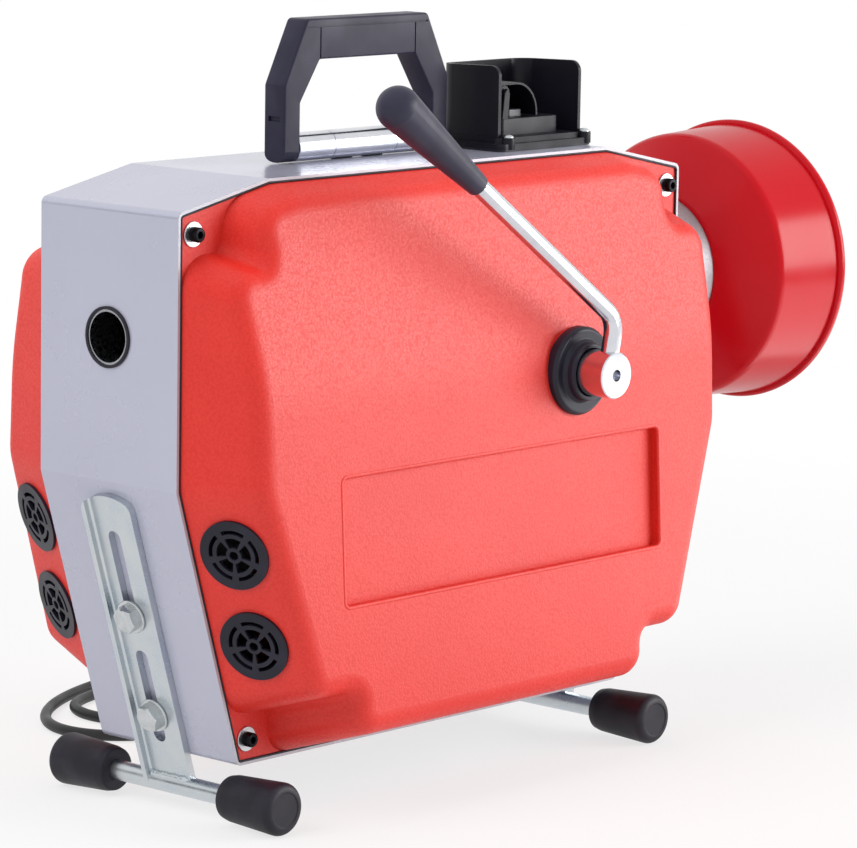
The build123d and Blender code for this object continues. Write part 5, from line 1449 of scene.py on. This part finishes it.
    def strain_relief(self) -> bpy.types.Object:
        """Hexagon gland nut and a ribbed, tapered boot where the cord leaves the cover.

        Returns:
            The nut and the boot as one piece.
        """
        place = placed(at(*self.gland), Vector((0, 1, 0)), Vector((1, 0, 0)))
        bore = self.radius + self.fit
        boot = [(self.boot_root[0], bore), self.boot_root]
        for rib in range(self.boot_ribs):
            on, taper = rib * self.boot_pitch, rib * self.boot_taper
            boot += [(along + on, radius - taper) for along, radius in self.boot_rib]
        boot += [*self.boot_tip, (self.boot_tip[-1][0], bore)]
        corner, height = self.gland_nut
        nut = hex_head(corner * math.cos(math.pi / 6), height, place)
        relief = as_object("cord_strain_relief", joined([nut, lathe(boot, place, 64)]))
        return self.add(relief, BLACK_NYLON, "black_plastic", ("cord_gland",))


@dataclass
class Shell(SubAssembly):
    """Chassis band, both covers, their screws and the vents."""

    # Screws: (x, z) of a front pair, the covers' seat, washer (hole, radius, height), head (radius, height,
    # half width of its socket) and shank (radius, length)
    screw_places: tuple[Pair, ...] = ((243.5, 404.5), (189.25, 59.5))
    screw_seat: float = 64.0
    screw_washer: Triple = (3.1, 8.5, 1.2)
    screw_head: Triple = (5.0, 6.0, 2.25)
    screw_shank: Pair = (2.9, 10.0)
    screw_turn: Triple = (1.0, 0.0, 0.4)
    # The near cover's leaning face: its (y, z) beside the lever's seal and its lean in degrees
    face_place: Pair = (-123.5, 260.0)
    face_lean: float = 3.2
    # Recess (x, z and length, height), and its rim: radius, distance out from the wall, rise over the face
    recess_middle: Pair = (2.5, 198.0)
    recess_size: Pair = (329.0, 86.0)
    recess_corner: float = 4.0
    rim: Triple = (1.7, 1.0, 0.45)
    # Right half of the band's outline, and the strips that paint the gaps' shade: radius, distance in
    # from the outline, distance from the middle
    band_corners: tuple[Pair, ...] = ((174.0, 436.5), (257.5, 419.0), (257.5, 234.5), (198.25, 42.0))
    band_bend: float = 5.0
    strip: Triple = (0.9, 2.8, 64.6)

    def build(self) -> None:
        """Dress the outer shell; make its screws, strips of painted shade in its gaps and the recess's rim.
        """
        self.dress(BAND_COAT, "frame_band")
        self.dress(COVER_ABS, "cover_near", "cover_far")
        self.dress(SATIN_NYLON, "vent_near_upper", "vent_near_lower", "vent_far_upper", "vent_far_lower")
        self.dress(BLACK_RUBBER, "inlet_grommet")
        self.dress(GROUND_STEEL, "inlet_tube")
        self.cover_screws()
        self.gap_shade_strips()
        self.recess_rim()

    def recess_rim(self) -> None:
        """Soft moulded rim round the recess in the near cover's leaning face."""
        radius, out, rise = self.rim
        length, height = self.recess_size
        size = (length + 2 * out, height + 2 * out)
        path = rectangle(self.recess_middle, size, self.recess_corner + out, 8)
        (face, top), lean = self.face_place, math.tan(math.radians(self.face_lean))
        levels = [face - (top - pz) * lean + radius - rise for _, pz in path]
        self.add(as_object("recess_rim", bead(path, levels, radius), SOFT), COVER_ABS, "cover_red")

    def gap_shade_strips(self) -> None:
        """Black rubber strips that paint the shade in the gaps between the band's edges and the covers."""
        radius, inwards, level = self.strip
        corners = mirrored(list(self.band_corners))
        path = rounded(inset(corners, inwards), [self.band_bend - inwards] * len(corners), 6)
        strips = [bead(path, [side.value * level] * len(path), radius) for side in Side]
        # Dark strips put where the gaps' shadow falls: painted shade
        self.add(as_object("gap_shade_strips", joined(strips), SOFT), BLACK_RUBBER, "black_rubber")

    def cover_screws(self) -> None:
        """Black socket head screws on bright washers, in the corners of both covers."""
        heads, washers = [], []
        radius, height, flat = self.screw_head
        inner, outer, sheet = self.screw_washer
        shank, length = self.screw_shank
        for side in Side:
            for end in End:
                for x, z in self.screw_places:
                    seat = at(end.value * x, side.value * self.screw_seat, z)
                    place = placed(seat, Vector((0, side.value, 0)), Vector(self.screw_turn))
                    washers.append(washer(inner, outer, sheet, place))
                    heads.append(socket_head(radius, height, flat, place @ Matrix.Translation((0, 0, sheet))))
                    stem = [(-length, 0.0), (-length, shank), (sheet, shank), (sheet, 0.0)]
                    heads.append(lathe(stem, place, 32))
        self.add(as_object("socket_screws", joined(heads)), BLACK_OXIDE, "black_steel", ("cover_screws",))
        self.add(as_object("socket_screw_washers", joined(washers)), ZINC, "zinc")


@dataclass
class Drive(SubAssembly):
    """What turns and clamps the spiral inside the shell."""

    def build(self) -> None:
        """Dress the drive."""
        self.dress(CAST_ALLOY, "rear_bearing_plate", "front_bearing_bracket", "motor_housing")
        self.dress(GROUND_STEEL, "spindle_bearing_rear", "spindle_bearing_front", "spindle_tube")
        self.dress(GROUND_STEEL, "motor_shaft")
        self.dress(GROUND_STEEL, "clamp_sleeve", "clamp_jaw_1", "clamp_jaw_2", "clamp_jaw_3")
        self.dress(GEAR_STEEL, "spindle_gear", "motor_pinion", "lever_fork", "lever_return_spring")
        self.dress(BLACK_NYLON, "motor_fan")


@dataclass
class FrontEnd(SubAssembly):
    """Collar and splash bowl."""

    # Bowl: its seat, and (along, radius, bend) corners of its section, out along its back and in again
    bowl_seat: Triple = (312.0, 0.0, 331.5)
    bowl_corners: tuple[Triple, ...] = (
        (0.0, 44.0, 0.4), (0.0, 59.0, 4.0), (28.0, 100.0, 9.0), (91.4, 103.3, 0.25), (91.5, 107.0, 3.4),
        (99.0, 107.0, 3.6), (99.0, 99.9, 3.4), (91.9, 99.9, 0.7), (91.7, 101.3, 0.4), (29.5, 98.0, 6.0),
        (2.0, 57.8, 2.4), (2.0, 44.0, 0.4),
    )
    # Ring of screws: where it lies along the axis, and its radius
    screw_ring: Pair = (314.0, 50.5)
    screw_turn: float = 45.0
    screws: int = 4

    def build(self) -> None:
        """Dress the collar and make the bowl and its screws."""
        self.dress(CAST_ALLOY, "front_collar")
        self.bowl()
        self.bowl_screws()

    def bowl(self) -> None:
        """Spun bowl with a rounded shoulder and a rolled lip."""
        place = placed(at(*self.bowl_seat), Vector((1, 0, 0)), Vector((0, 0, 1)))
        piece = as_object("spun_bowl", lathe(bent(self.bowl_corners, 7), place, 144))
        self.add(piece, BOWL_ENAMEL, "bowl_red", ("splash_bowl",))

    def bowl_screws(self) -> None:
        """Ring of dome headed screws inside the bowl."""
        x, radius = self.screw_ring
        places = []
        for step in range(self.screws):
            angle = math.radians(self.screw_turn + 360 / self.screws * step)
            y, z = radius * math.cos(angle), self.bowl_seat[2] + radius * math.sin(angle)
            places.append(placed(at(x, y, z), Vector((1, 0, 0)), Vector((0, 1, 0))))
        self.add(pan_screws("bowl_pan_screws", places), BRIGHT_ZINC, "zinc", ("bowl_screws",))


@dataclass
class HandLever(SubAssembly):
    """Lever on the near side."""

    body: str = "hand_lever"
    pivot: Triple = (79.0, -148.5, 290.0)
    # Rod: lean of its neck in degrees, where the neck starts and bends above the pivot, rise of the arm
    neck_lean: float = 12.5
    neck: Pair = (10.0, 39.0)
    arm_rise: float = 35.0
    arm: float = 236.0
    bend: float = 19.0
    rod_radius: float = 6.6
    # Seal: the Y of its seat, and (along, radius, bend) corners of its section
    seal_seat: float = -123.5
    seal_corners: tuple[Triple, ...] = (
        (-5.8, 17.0, 0.3), (-5.8, 18.5, 0.3), (-0.6, 18.5, 0.3), (-3.6, 31.2, 0.3), (2.6, 31.2, 1.2),
        (5.0, 29.0, 2.4), (4.4, 22.6, 1.2), (7.0, 20.6, 2.0), (12.0, 20.2, 1.8), (12.0, 17.0, 0.6),
    )

    def build(self) -> None:
        """Dress the lever and make its rod and seal."""
        self.dress(CHROME, "lever_hub")
        self.dress(GROUND_STEEL, "lever_shaft")
        self.dress(DIPPED_PVC, "lever_grip")
        self.rod()
        self.seal()

    def rod(self) -> None:
        """Bright bar, bent cold between the hub and the grip."""
        lean, rise = math.radians(self.neck_lean), math.radians(self.arm_rise)
        foot = Vector((self.pivot[0], self.pivot[2]))
        up = Vector((math.sin(lean), math.cos(lean)))
        corner = foot + up * self.neck[1]
        tip = corner + Vector((-math.cos(rise), math.sin(rise))) * self.arm
        corners = [tuple(foot + up * self.neck[0]), tuple(corner), tuple(tip)]
        path = rounded(corners, [0.0, self.bend, 0.0], 24, False)
        shape = bar(path, self.pivot[1], self.rod_radius, 48)
        self.add(as_object("bent_rod", shape), CHROME, "chrome", ("lever_rod",))

    def seal(self) -> None:
        """Rubber seal round the lever's shaft: a soft rimmed flange that grips the cover, and a collar."""
        seat = at(self.pivot[0], self.seal_seat, self.pivot[2])
        place = placed(seat, Vector((0, -1, 0)), Vector((0, 0, 1)))
        piece = as_object("shaft_seal", lathe(bent(self.seal_corners, 5), place, 96))
        self.add(piece, SEAL_RUBBER, "black_rubber", ("lever_seal",), "chassis")


@dataclass
class CarryHandle(SubAssembly):
    """Carrying handle on its tube."""

    body: str = "carry_handle"
    middle: float = -19.5
    half: float = 83.0
    width: float = 19.6
    # Heights of its foot, of the grip's underside and of its top; (x, z, bend) corners of its right half
    heights: Triple = (437.1, 506.9, 534.9)
    arch: tuple[Triple, ...] = (
        (61.0, 534.9, 4.0), (83.0, 490.4, 5.0), (83.0, 437.1, 2.6), (67.0, 437.1, 2.6), (67.0, 477.9, 4.0),
        (48.0, 506.9, 3.0),
    )
    edge: float = 1.7
    # Lugs: radius of the upper corners, and how much less than half the width that of the lower ones is
    lug: Pair = (1.0, 0.6)
    # Grooves: distance of the end ones from the middle, height of the long one, half width
    groove: Triple = (48.0, 529.9, 0.6)
    groove_depth: float = 0.9
    # Their tools: how far out they start, in half widths, and how far below the grip
    groove_tool: Pair = (1.2, 2.0)
    # Drain slot in the rear lug: its Y and Z, and how far it reaches in
    slot: tuple[Pair, Pair] = ((-5.5, 5.5), (465.5, 469.0))
    slot_depth: float = 2.0
    # Right half of the tube as (along, radius), and the saddles: distance from the middle, length, width
    tube_height: float = 446.9
    tube_half: tuple[Pair, ...] = (
        (30.6, 10.0), (30.8, 9.5), (31.6, 9.5), (31.8, 10.0), (66.2, 10.0), (66.7, 9.5), (66.7, 7.5),
        (77.7, 7.5), (77.7, 0.0),
    )
    saddle: Triple = (15.35, 18.0, 6.0)
    saddle_rise: Pair = (436.5, 441.9)
    saddle_corner: float = 2.0
    saddle_edge: float = 0.6

    def build(self) -> None:
        """Make the handle and its tube."""
        self.grip()
        self.tube()

    def grip(self) -> None:
        """Angular arch with softened edges, round lugs, grooves round the grip and a drain slot."""
        left = tuple((-x, z, bend) for x, z, bend in reversed(self.arch))
        outline = bent(self.arch + left, 5)
        side = self.width / 2
        place = placed(at(self.middle, 0.0, 0.0), Vector((0, -1, 0)), Vector((1, 0, 0)))
        piece = as_object("arched_handle", prism(outline, soft_spans(-side, side, self.edge), place))
        low, under, top = self.heights
        skin = side - HAIR
        section = [(-skin, top + PAST), (skin, top + PAST), (skin, low), (-skin, low)]
        upper, less = self.lug
        lug = rounded(section, [upper, upper, side - less, side - less], 10)
        across = placed(at(self.middle, 0.0, 0.0), Vector((1, 0, 0)), Vector((0, 1, 0)))
        tools = [(Carving.TRIM, prism(lug, [(0.0, -self.half - PAST), (0.0, self.half + PAST)], across))]
        reach, line, half = self.groove
        start, below = self.groove_tool
        crest = self.arch[0][0]
        for face in (-side, side):
            depth = tuple(sorted((face * start, face - math.copysign(self.groove_depth, face))))
            for end in (-reach, reach):
                x = self.middle + end
                tools.append((Carving.CUT, box((x - half, x + half), depth, (under - below, line))))
            x = self.middle
            tools.append((Carving.CUT, box((x - crest, x + crest), depth, (line - 2 * half, line + HAIR))))
        rear = self.middle - self.half
        tools.append((Carving.CUT, box((rear - OUTSIDE, rear + self.slot_depth), *self.slot)))
        carve(piece, tools, CARVED)
        self.add(piece, BLACK_NYLON, "black_plastic", ("handle",))

    def tube(self) -> None:
        """Plated tube with two turned rings, on blackened saddles."""
        place = placed(at(self.middle, 0.0, self.tube_height), Vector((1, 0, 0)), Vector((0, 0, 1)))
        profile = [(-along, radius) for along, radius in reversed(self.tube_half)] + list(self.tube_half)
        piece = as_object("plated_tube", lathe(profile, place, 72))
        self.add(piece, CHROME, "chrome", ("handle_tube",), "chassis")
        off, length, width = self.saddle
        low, high = self.saddle_rise
        plan = rectangle((0.0, 0.0), (length, width), self.saddle_corner, 4)
        saddles = []
        for x in (-off, off):
            seat = placed(at(self.middle + x, 0.0, 0.0), Vector((0, 0, 1)), Vector((1, 0, 0)))
            saddles.append(prism(plan, soft_spans(low, high, self.saddle_edge), seat))
        self.add(as_object("tube_saddles", joined(saddles)), BLACK_OXIDE, "black_steel", (), "chassis")


@dataclass
class SwitchUnit(SubAssembly):
    """Switch on the top, with its guard and flap."""

    middle: Pair = (131.0, -9.0)
    base_edge: float = 0.7
    # Screws: their (x, y) from the middle, the height of their seats and the direction of one recess
    lugs: tuple[Pair, ...] = ((-39.0, -33.5), (44.0, -33.5), (-39.0, 33.5), (44.0, 33.5))
    lug_height: float = 446.0
    screw_turn: Triple = (1.0, 0.4, 0.0)
    # Block, the wells of the keys (length, width, depth) and the ears' (x, z) outline
    block_size: Triple = (62.0, 40.0, 12.0)
    block_corner: float = 3.0
    block_edge: float = 0.9
    key_middles: tuple[float, ...] = (112.0, 127.0)
    key_well: Triple = (12.6, 18.6, 8.5)
    ear_outline: tuple[Pair, ...] = (
        (101.0, 457.5), (103.2, 476.4), (106.0, 479.2), (108.8, 476.0), (107.4, 457.5),
    )
    ear_gap: float = 0.25
    ear_inset: float = 0.1
    ear_edge: float = 0.3
    # Flap: (x, z) of its pin, (x, z, bend) corners of its outer line, its width and sheet, the radius of its
    # barrel, and the pin's radius and length
    flap_pin: Pair = (106.0, 476.0)
    flap_path: tuple[Triple, ...] = (
        (99.0, 468.5, 0.0), (99.0, 483.1, 6.0), (142.1, 483.1, 23.0), (142.1, 458.6, 0.0),
    )
    flap_width: float = 34.0
    flap_sheet: float = 1.5
    barrel: float = 5.7
    barrel_edge: float = 0.4
    pin: Pair = (1.8, 40.0)

    def build(self) -> None:
        """Dress the switch and make its block, flap and screws."""
        self.dress(BLACK_RUBBER, "switch_gasket")
        self.dress(BLACK_ABS, "switch_base", "switch_guard")
        self.soften(self.base_edge, "switch_base", "switch_guard")
        self.block()
        self.dress(START_KEY, "start_button")
        self.dress(STOP_KEY, "stop_button")
        self.flap()
        x, y = self.middle
        seats = [at(x + i, y + j, self.lug_height) for i, j in self.lugs]
        places = [placed(seat, Vector((0, 0, 1)), Vector(self.screw_turn)) for seat in seats]
        self.add(pan_screws("switch_pan_screws", places), BRIGHT_ZINC, "zinc", ("switch_screws",))

    def block(self) -> None:
        """Switch block with a well for each key and two slim ears for the flap's pin."""
        (x, y), (length, width, height) = self.middle, self.block_size
        seat = placed(at(x, y, self.lug_height), Vector((0, 0, 1)), Vector((1, 0, 0)))
        plan = rectangle((0.0, 0.0), (length, width), self.block_corner, 5)
        steps = 3
        soft_top = soft_spans(0.0, height, self.block_edge, steps)[steps + 1:]
        piece = as_object("switch_block", prism(plan, [(0.0, 0.0)] + soft_top, seat))
        top = self.lug_height + height
        along, across, depth = self.key_well
        tools = []
        for middle in self.key_middles:
            sides = (middle - along / 2, middle + along / 2), (y - across / 2, y + across / 2)
            tools.append((Carving.CUT, box(*sides, (top - depth, top + OUTSIDE))))
        for side in Side:
            inner = side.value * (self.flap_width / 2 + self.ear_gap)
            outer = side.value * (width / 2 - self.ear_inset)
            low, high = sorted((-y - inner, -y - outer))
            edge = self.ear_edge
            spans = [(edge, low), (0.0, low + edge), (0.0, high - edge), (edge, high)]
            upright = placed(at(0.0, 0.0, 0.0), Vector((0, -1, 0)), Vector((1, 0, 0)))
            tools.append((Carving.JOIN, prism(list(self.ear_outline), spans, upright)))
        carve(piece, tools, CARVED)
        self.add(piece, BLACK_ABS, "black_plastic", ("switch_body",))

    def flap(self) -> None:
        """Thin arched flap with its hinge barrel and pin."""
        path = [Vector(point) for point in bent(self.flap_path, 16, False)]
        y = self.middle[1]
        loops = []
        for i, here in enumerate(path):
            along = (path[min(i + 1, len(path) - 1)] - path[max(i - 1, 0)]).normalized()
            under = here + Vector((along.y, -along.x)) * self.flap_sheet
            half = self.flap_width / 2
            ring = ((here, -half), (here, half), (under, half), (under, -half))
            loops.append([at(p.x, y + side, p.y) for p, side in ring])
        hinge = placed(at(self.flap_pin[0], y, self.flap_pin[1]), Vector((0, 1, 0)), Vector((1, 0, 0)))
        half, (thin, long) = self.flap_width / 2, self.pin
        barrel = [(-long / 2, 0.0), (-long / 2, thin), (-half, thin)]
        edge = self.barrel_edge
        barrel += [(-half, self.barrel - edge), (-half + edge, self.barrel)]
        profile = barrel + [(-along, radius) for along, radius in reversed(barrel)]
        piece = as_object("arched_flap", joined([loft(loops), lathe(profile, hinge, 48)]))
        self.add(piece, BLACK_ABS, "black_plastic", ("switch_flap",), "flap")


@dataclass
class Feet(SubAssembly):
    """Slotted foot plates, cross rods, rubber caps and bolts."""

    # Slanted end face: (x, z) of its upper edge, and how far it falls and runs in for each millimetre
    knee: Pair = (257.5, 234.5)
    slope: Pair = (0.955752, 0.294173)
    bolt_drops: tuple[float, ...] = (97.0, 171.5)
    bolt_turns: tuple[float, ...] = (14.0, 37.0)
    plate_face: float = 5.3
    band_sheet: float = 2.5
    bolt_flat: float = 8.5
    bolt_head: float = 7.0
    bolt_washer: Triple = (5.2, 12.0, 2.0)
    bolt_radius: float = 5.0
    bolt_tail: float = 2.0
    bolt_point: float = 0.8
    bolt_crisp: float = 18.0
    # Weld run: its distance down the end face and out from it, and the seed of its unevenness
    bead_place: Pair = (219.0, 4.7)
    bead_radius: float = 3.3
    bead_length: float = 38.0
    bead_drops: int = 4
    bead_swell: float = 0.12
    bead_uneven: float = 0.05
    # Thickness of its ends, and how fast it grows from them, in shares of its radius and of its length
    bead_ends: Pair = (0.3, 8.0)
    bead_steps: int = 64
    bead_sides: int = 16
    bead_seed: int = 3
    # Rod's (x, z), then (along, radius, bend) corners of a cap's skin and (along, radius) ones of its bore
    rod: Pair = (194.47, 18.5)
    cap_start: float = 55.0
    cap_corners: tuple[Triple, ...] = (
        (0.0, 7.2, 0.3), (0.0, 14.8, 1.6), (6.0, 16.1, 12.0), (52.0, 18.5, 5.5), (52.0, 12.2, 0.5),
        (51.4, 11.6, 0.5),
    )
    cap_bore: tuple[Pair, ...] = ((51.4, 0.0), (43.2, 0.0), (43.2, 7.2))

    def build(self) -> None:
        """Dress the feet and make their bolts, welds and caps."""
        for end in End:
            self.dress(ZINC, end.word() + "_foot_plate", end.word() + "_foot_rod")
        self.bolts()
        self.beads()
        self.caps()

    def slanted(self, end: End, drop: float, out: float = 0.0) -> Matrix:
        """Frame on an end's slanted face.

        Args:
            end: which end of the machine.
            drop: distance down the face from its upper edge, in millimetres.
            out: distance out from the face.

        Returns:
            Matrix whose local X runs across the machine and whose local Z points out.
        """
        fall, run = self.slope
        x = self.knee[0] - run * drop + fall * out
        z = self.knee[1] - fall * drop - run * out
        outwards = Vector((end.value * fall, 0.0, -run))
        return placed(at(end.value * x, 0.0, z), outwards, Vector((0.0, 1.0, 0.0)))

    def bolts(self) -> None:
        """Hexagon bolts with washers and nuts through the plates' slots."""
        shapes = []
        inner, outer, sheet = self.bolt_washer
        for end in End:
            for drop, degrees in zip(self.bolt_drops, self.bolt_turns):
                turn = Matrix.Rotation(math.radians(degrees), 4, "Z")
                place = self.slanted(end, drop) @ turn
                under = Matrix.Translation((0, 0, self.plate_face))
                shapes.append(washer(inner, outer, sheet, place @ under))
                seat = Matrix.Translation((0, 0, self.plate_face + sheet))
                shapes.append(hex_head(self.bolt_flat, self.bolt_head, place @ seat))
                back = Matrix.Translation((0, 0, -self.band_sheet)) @ Matrix.Rotation(math.pi, 4, "X")
                shapes.append(hex_head(self.bolt_flat, self.bolt_head, place @ back))
                low, high = -self.band_sheet - self.bolt_head - self.bolt_tail, self.plate_face + sheet
                point, radius = self.bolt_point, self.bolt_radius
                stem = [(low, 0.0), (low, radius - point), (low + point, radius), (high, radius), (high, 0.0)]
                shapes.append(lathe(stem, place, 40))
        piece = as_object("hex_bolts", joined(shapes), self.bolt_crisp)
        self.add(piece, BRIGHT_ZINC, "zinc", ("foot_bolts",))

    def beads(self) -> None:
        """Hand laid weld run where each plate meets its rod, in overlapping drops."""
        for count, end in enumerate(End):
            chance = random.Random(count + self.bead_seed)
            place = self.slanted(end, *self.bead_place)
            angles = [2 * math.pi * i / self.bead_sides for i in range(self.bead_sides)]
            thin, grow = self.bead_ends
            rows = []
            for step in range(self.bead_steps + 1):
                share = step / self.bead_steps
                wave = math.sin(math.pi * share * self.bead_drops) ** 2
                swell = 1 - self.bead_swell + self.bead_swell * wave
                ends = min(1.0, grow * share + thin, grow * (1 - share) + thin)
                uneven = chance.uniform(1 - self.bead_uneven, 1 + self.bead_uneven)
                size = self.bead_radius * swell * ends * uneven
                along = (share - 0.5) * self.bead_length
                rows.append([place @ Vector((along, size * math.cos(a), size * math.sin(a))) for a in angles])
            piece = as_object(end.word() + "_weld", loft(rows), SOFT)
            self.add(piece, ZINC, "zinc", (), end.word() + "_foot")

    def caps(self) -> None:
        """Rubber caps with a soft shoulder and a shallow dished end."""
        skin = bent((*self.cap_corners, (*self.cap_bore[0], 0.0)), 8, False)
        profile = skin[:-1] + list(self.cap_bore)
        for end in End:
            for side in Side:
                x, z = self.rod
                seat = at(end.value * x, side.value * self.cap_start, z)
                place = placed(seat, Vector((0, side.value, 0)), Vector((0, 0, 1)))
                name = f"{end.word()}_cap_{side.name.lower()}"
                piece = as_object(name + "_rubber", lathe(profile, place, 80))
                self.add(piece, BLACK_RUBBER, "black_rubber", (name,), end.word() + "_foot")


def main() -> None:
    """Set the stage, then make the machine group by group."""
    logging.basicConfig(level=logging.INFO, format="%(message)s")
    PhotoCamera().build()
    Stage().build()
    groups = (SupplyCord(), Shell(), Drive(), FrontEnd(), HandLever(), CarryHandle(), SwitchUnit(), Feet())
    for group in groups:
        group.build()


if __name__ == "__main__":
    main()
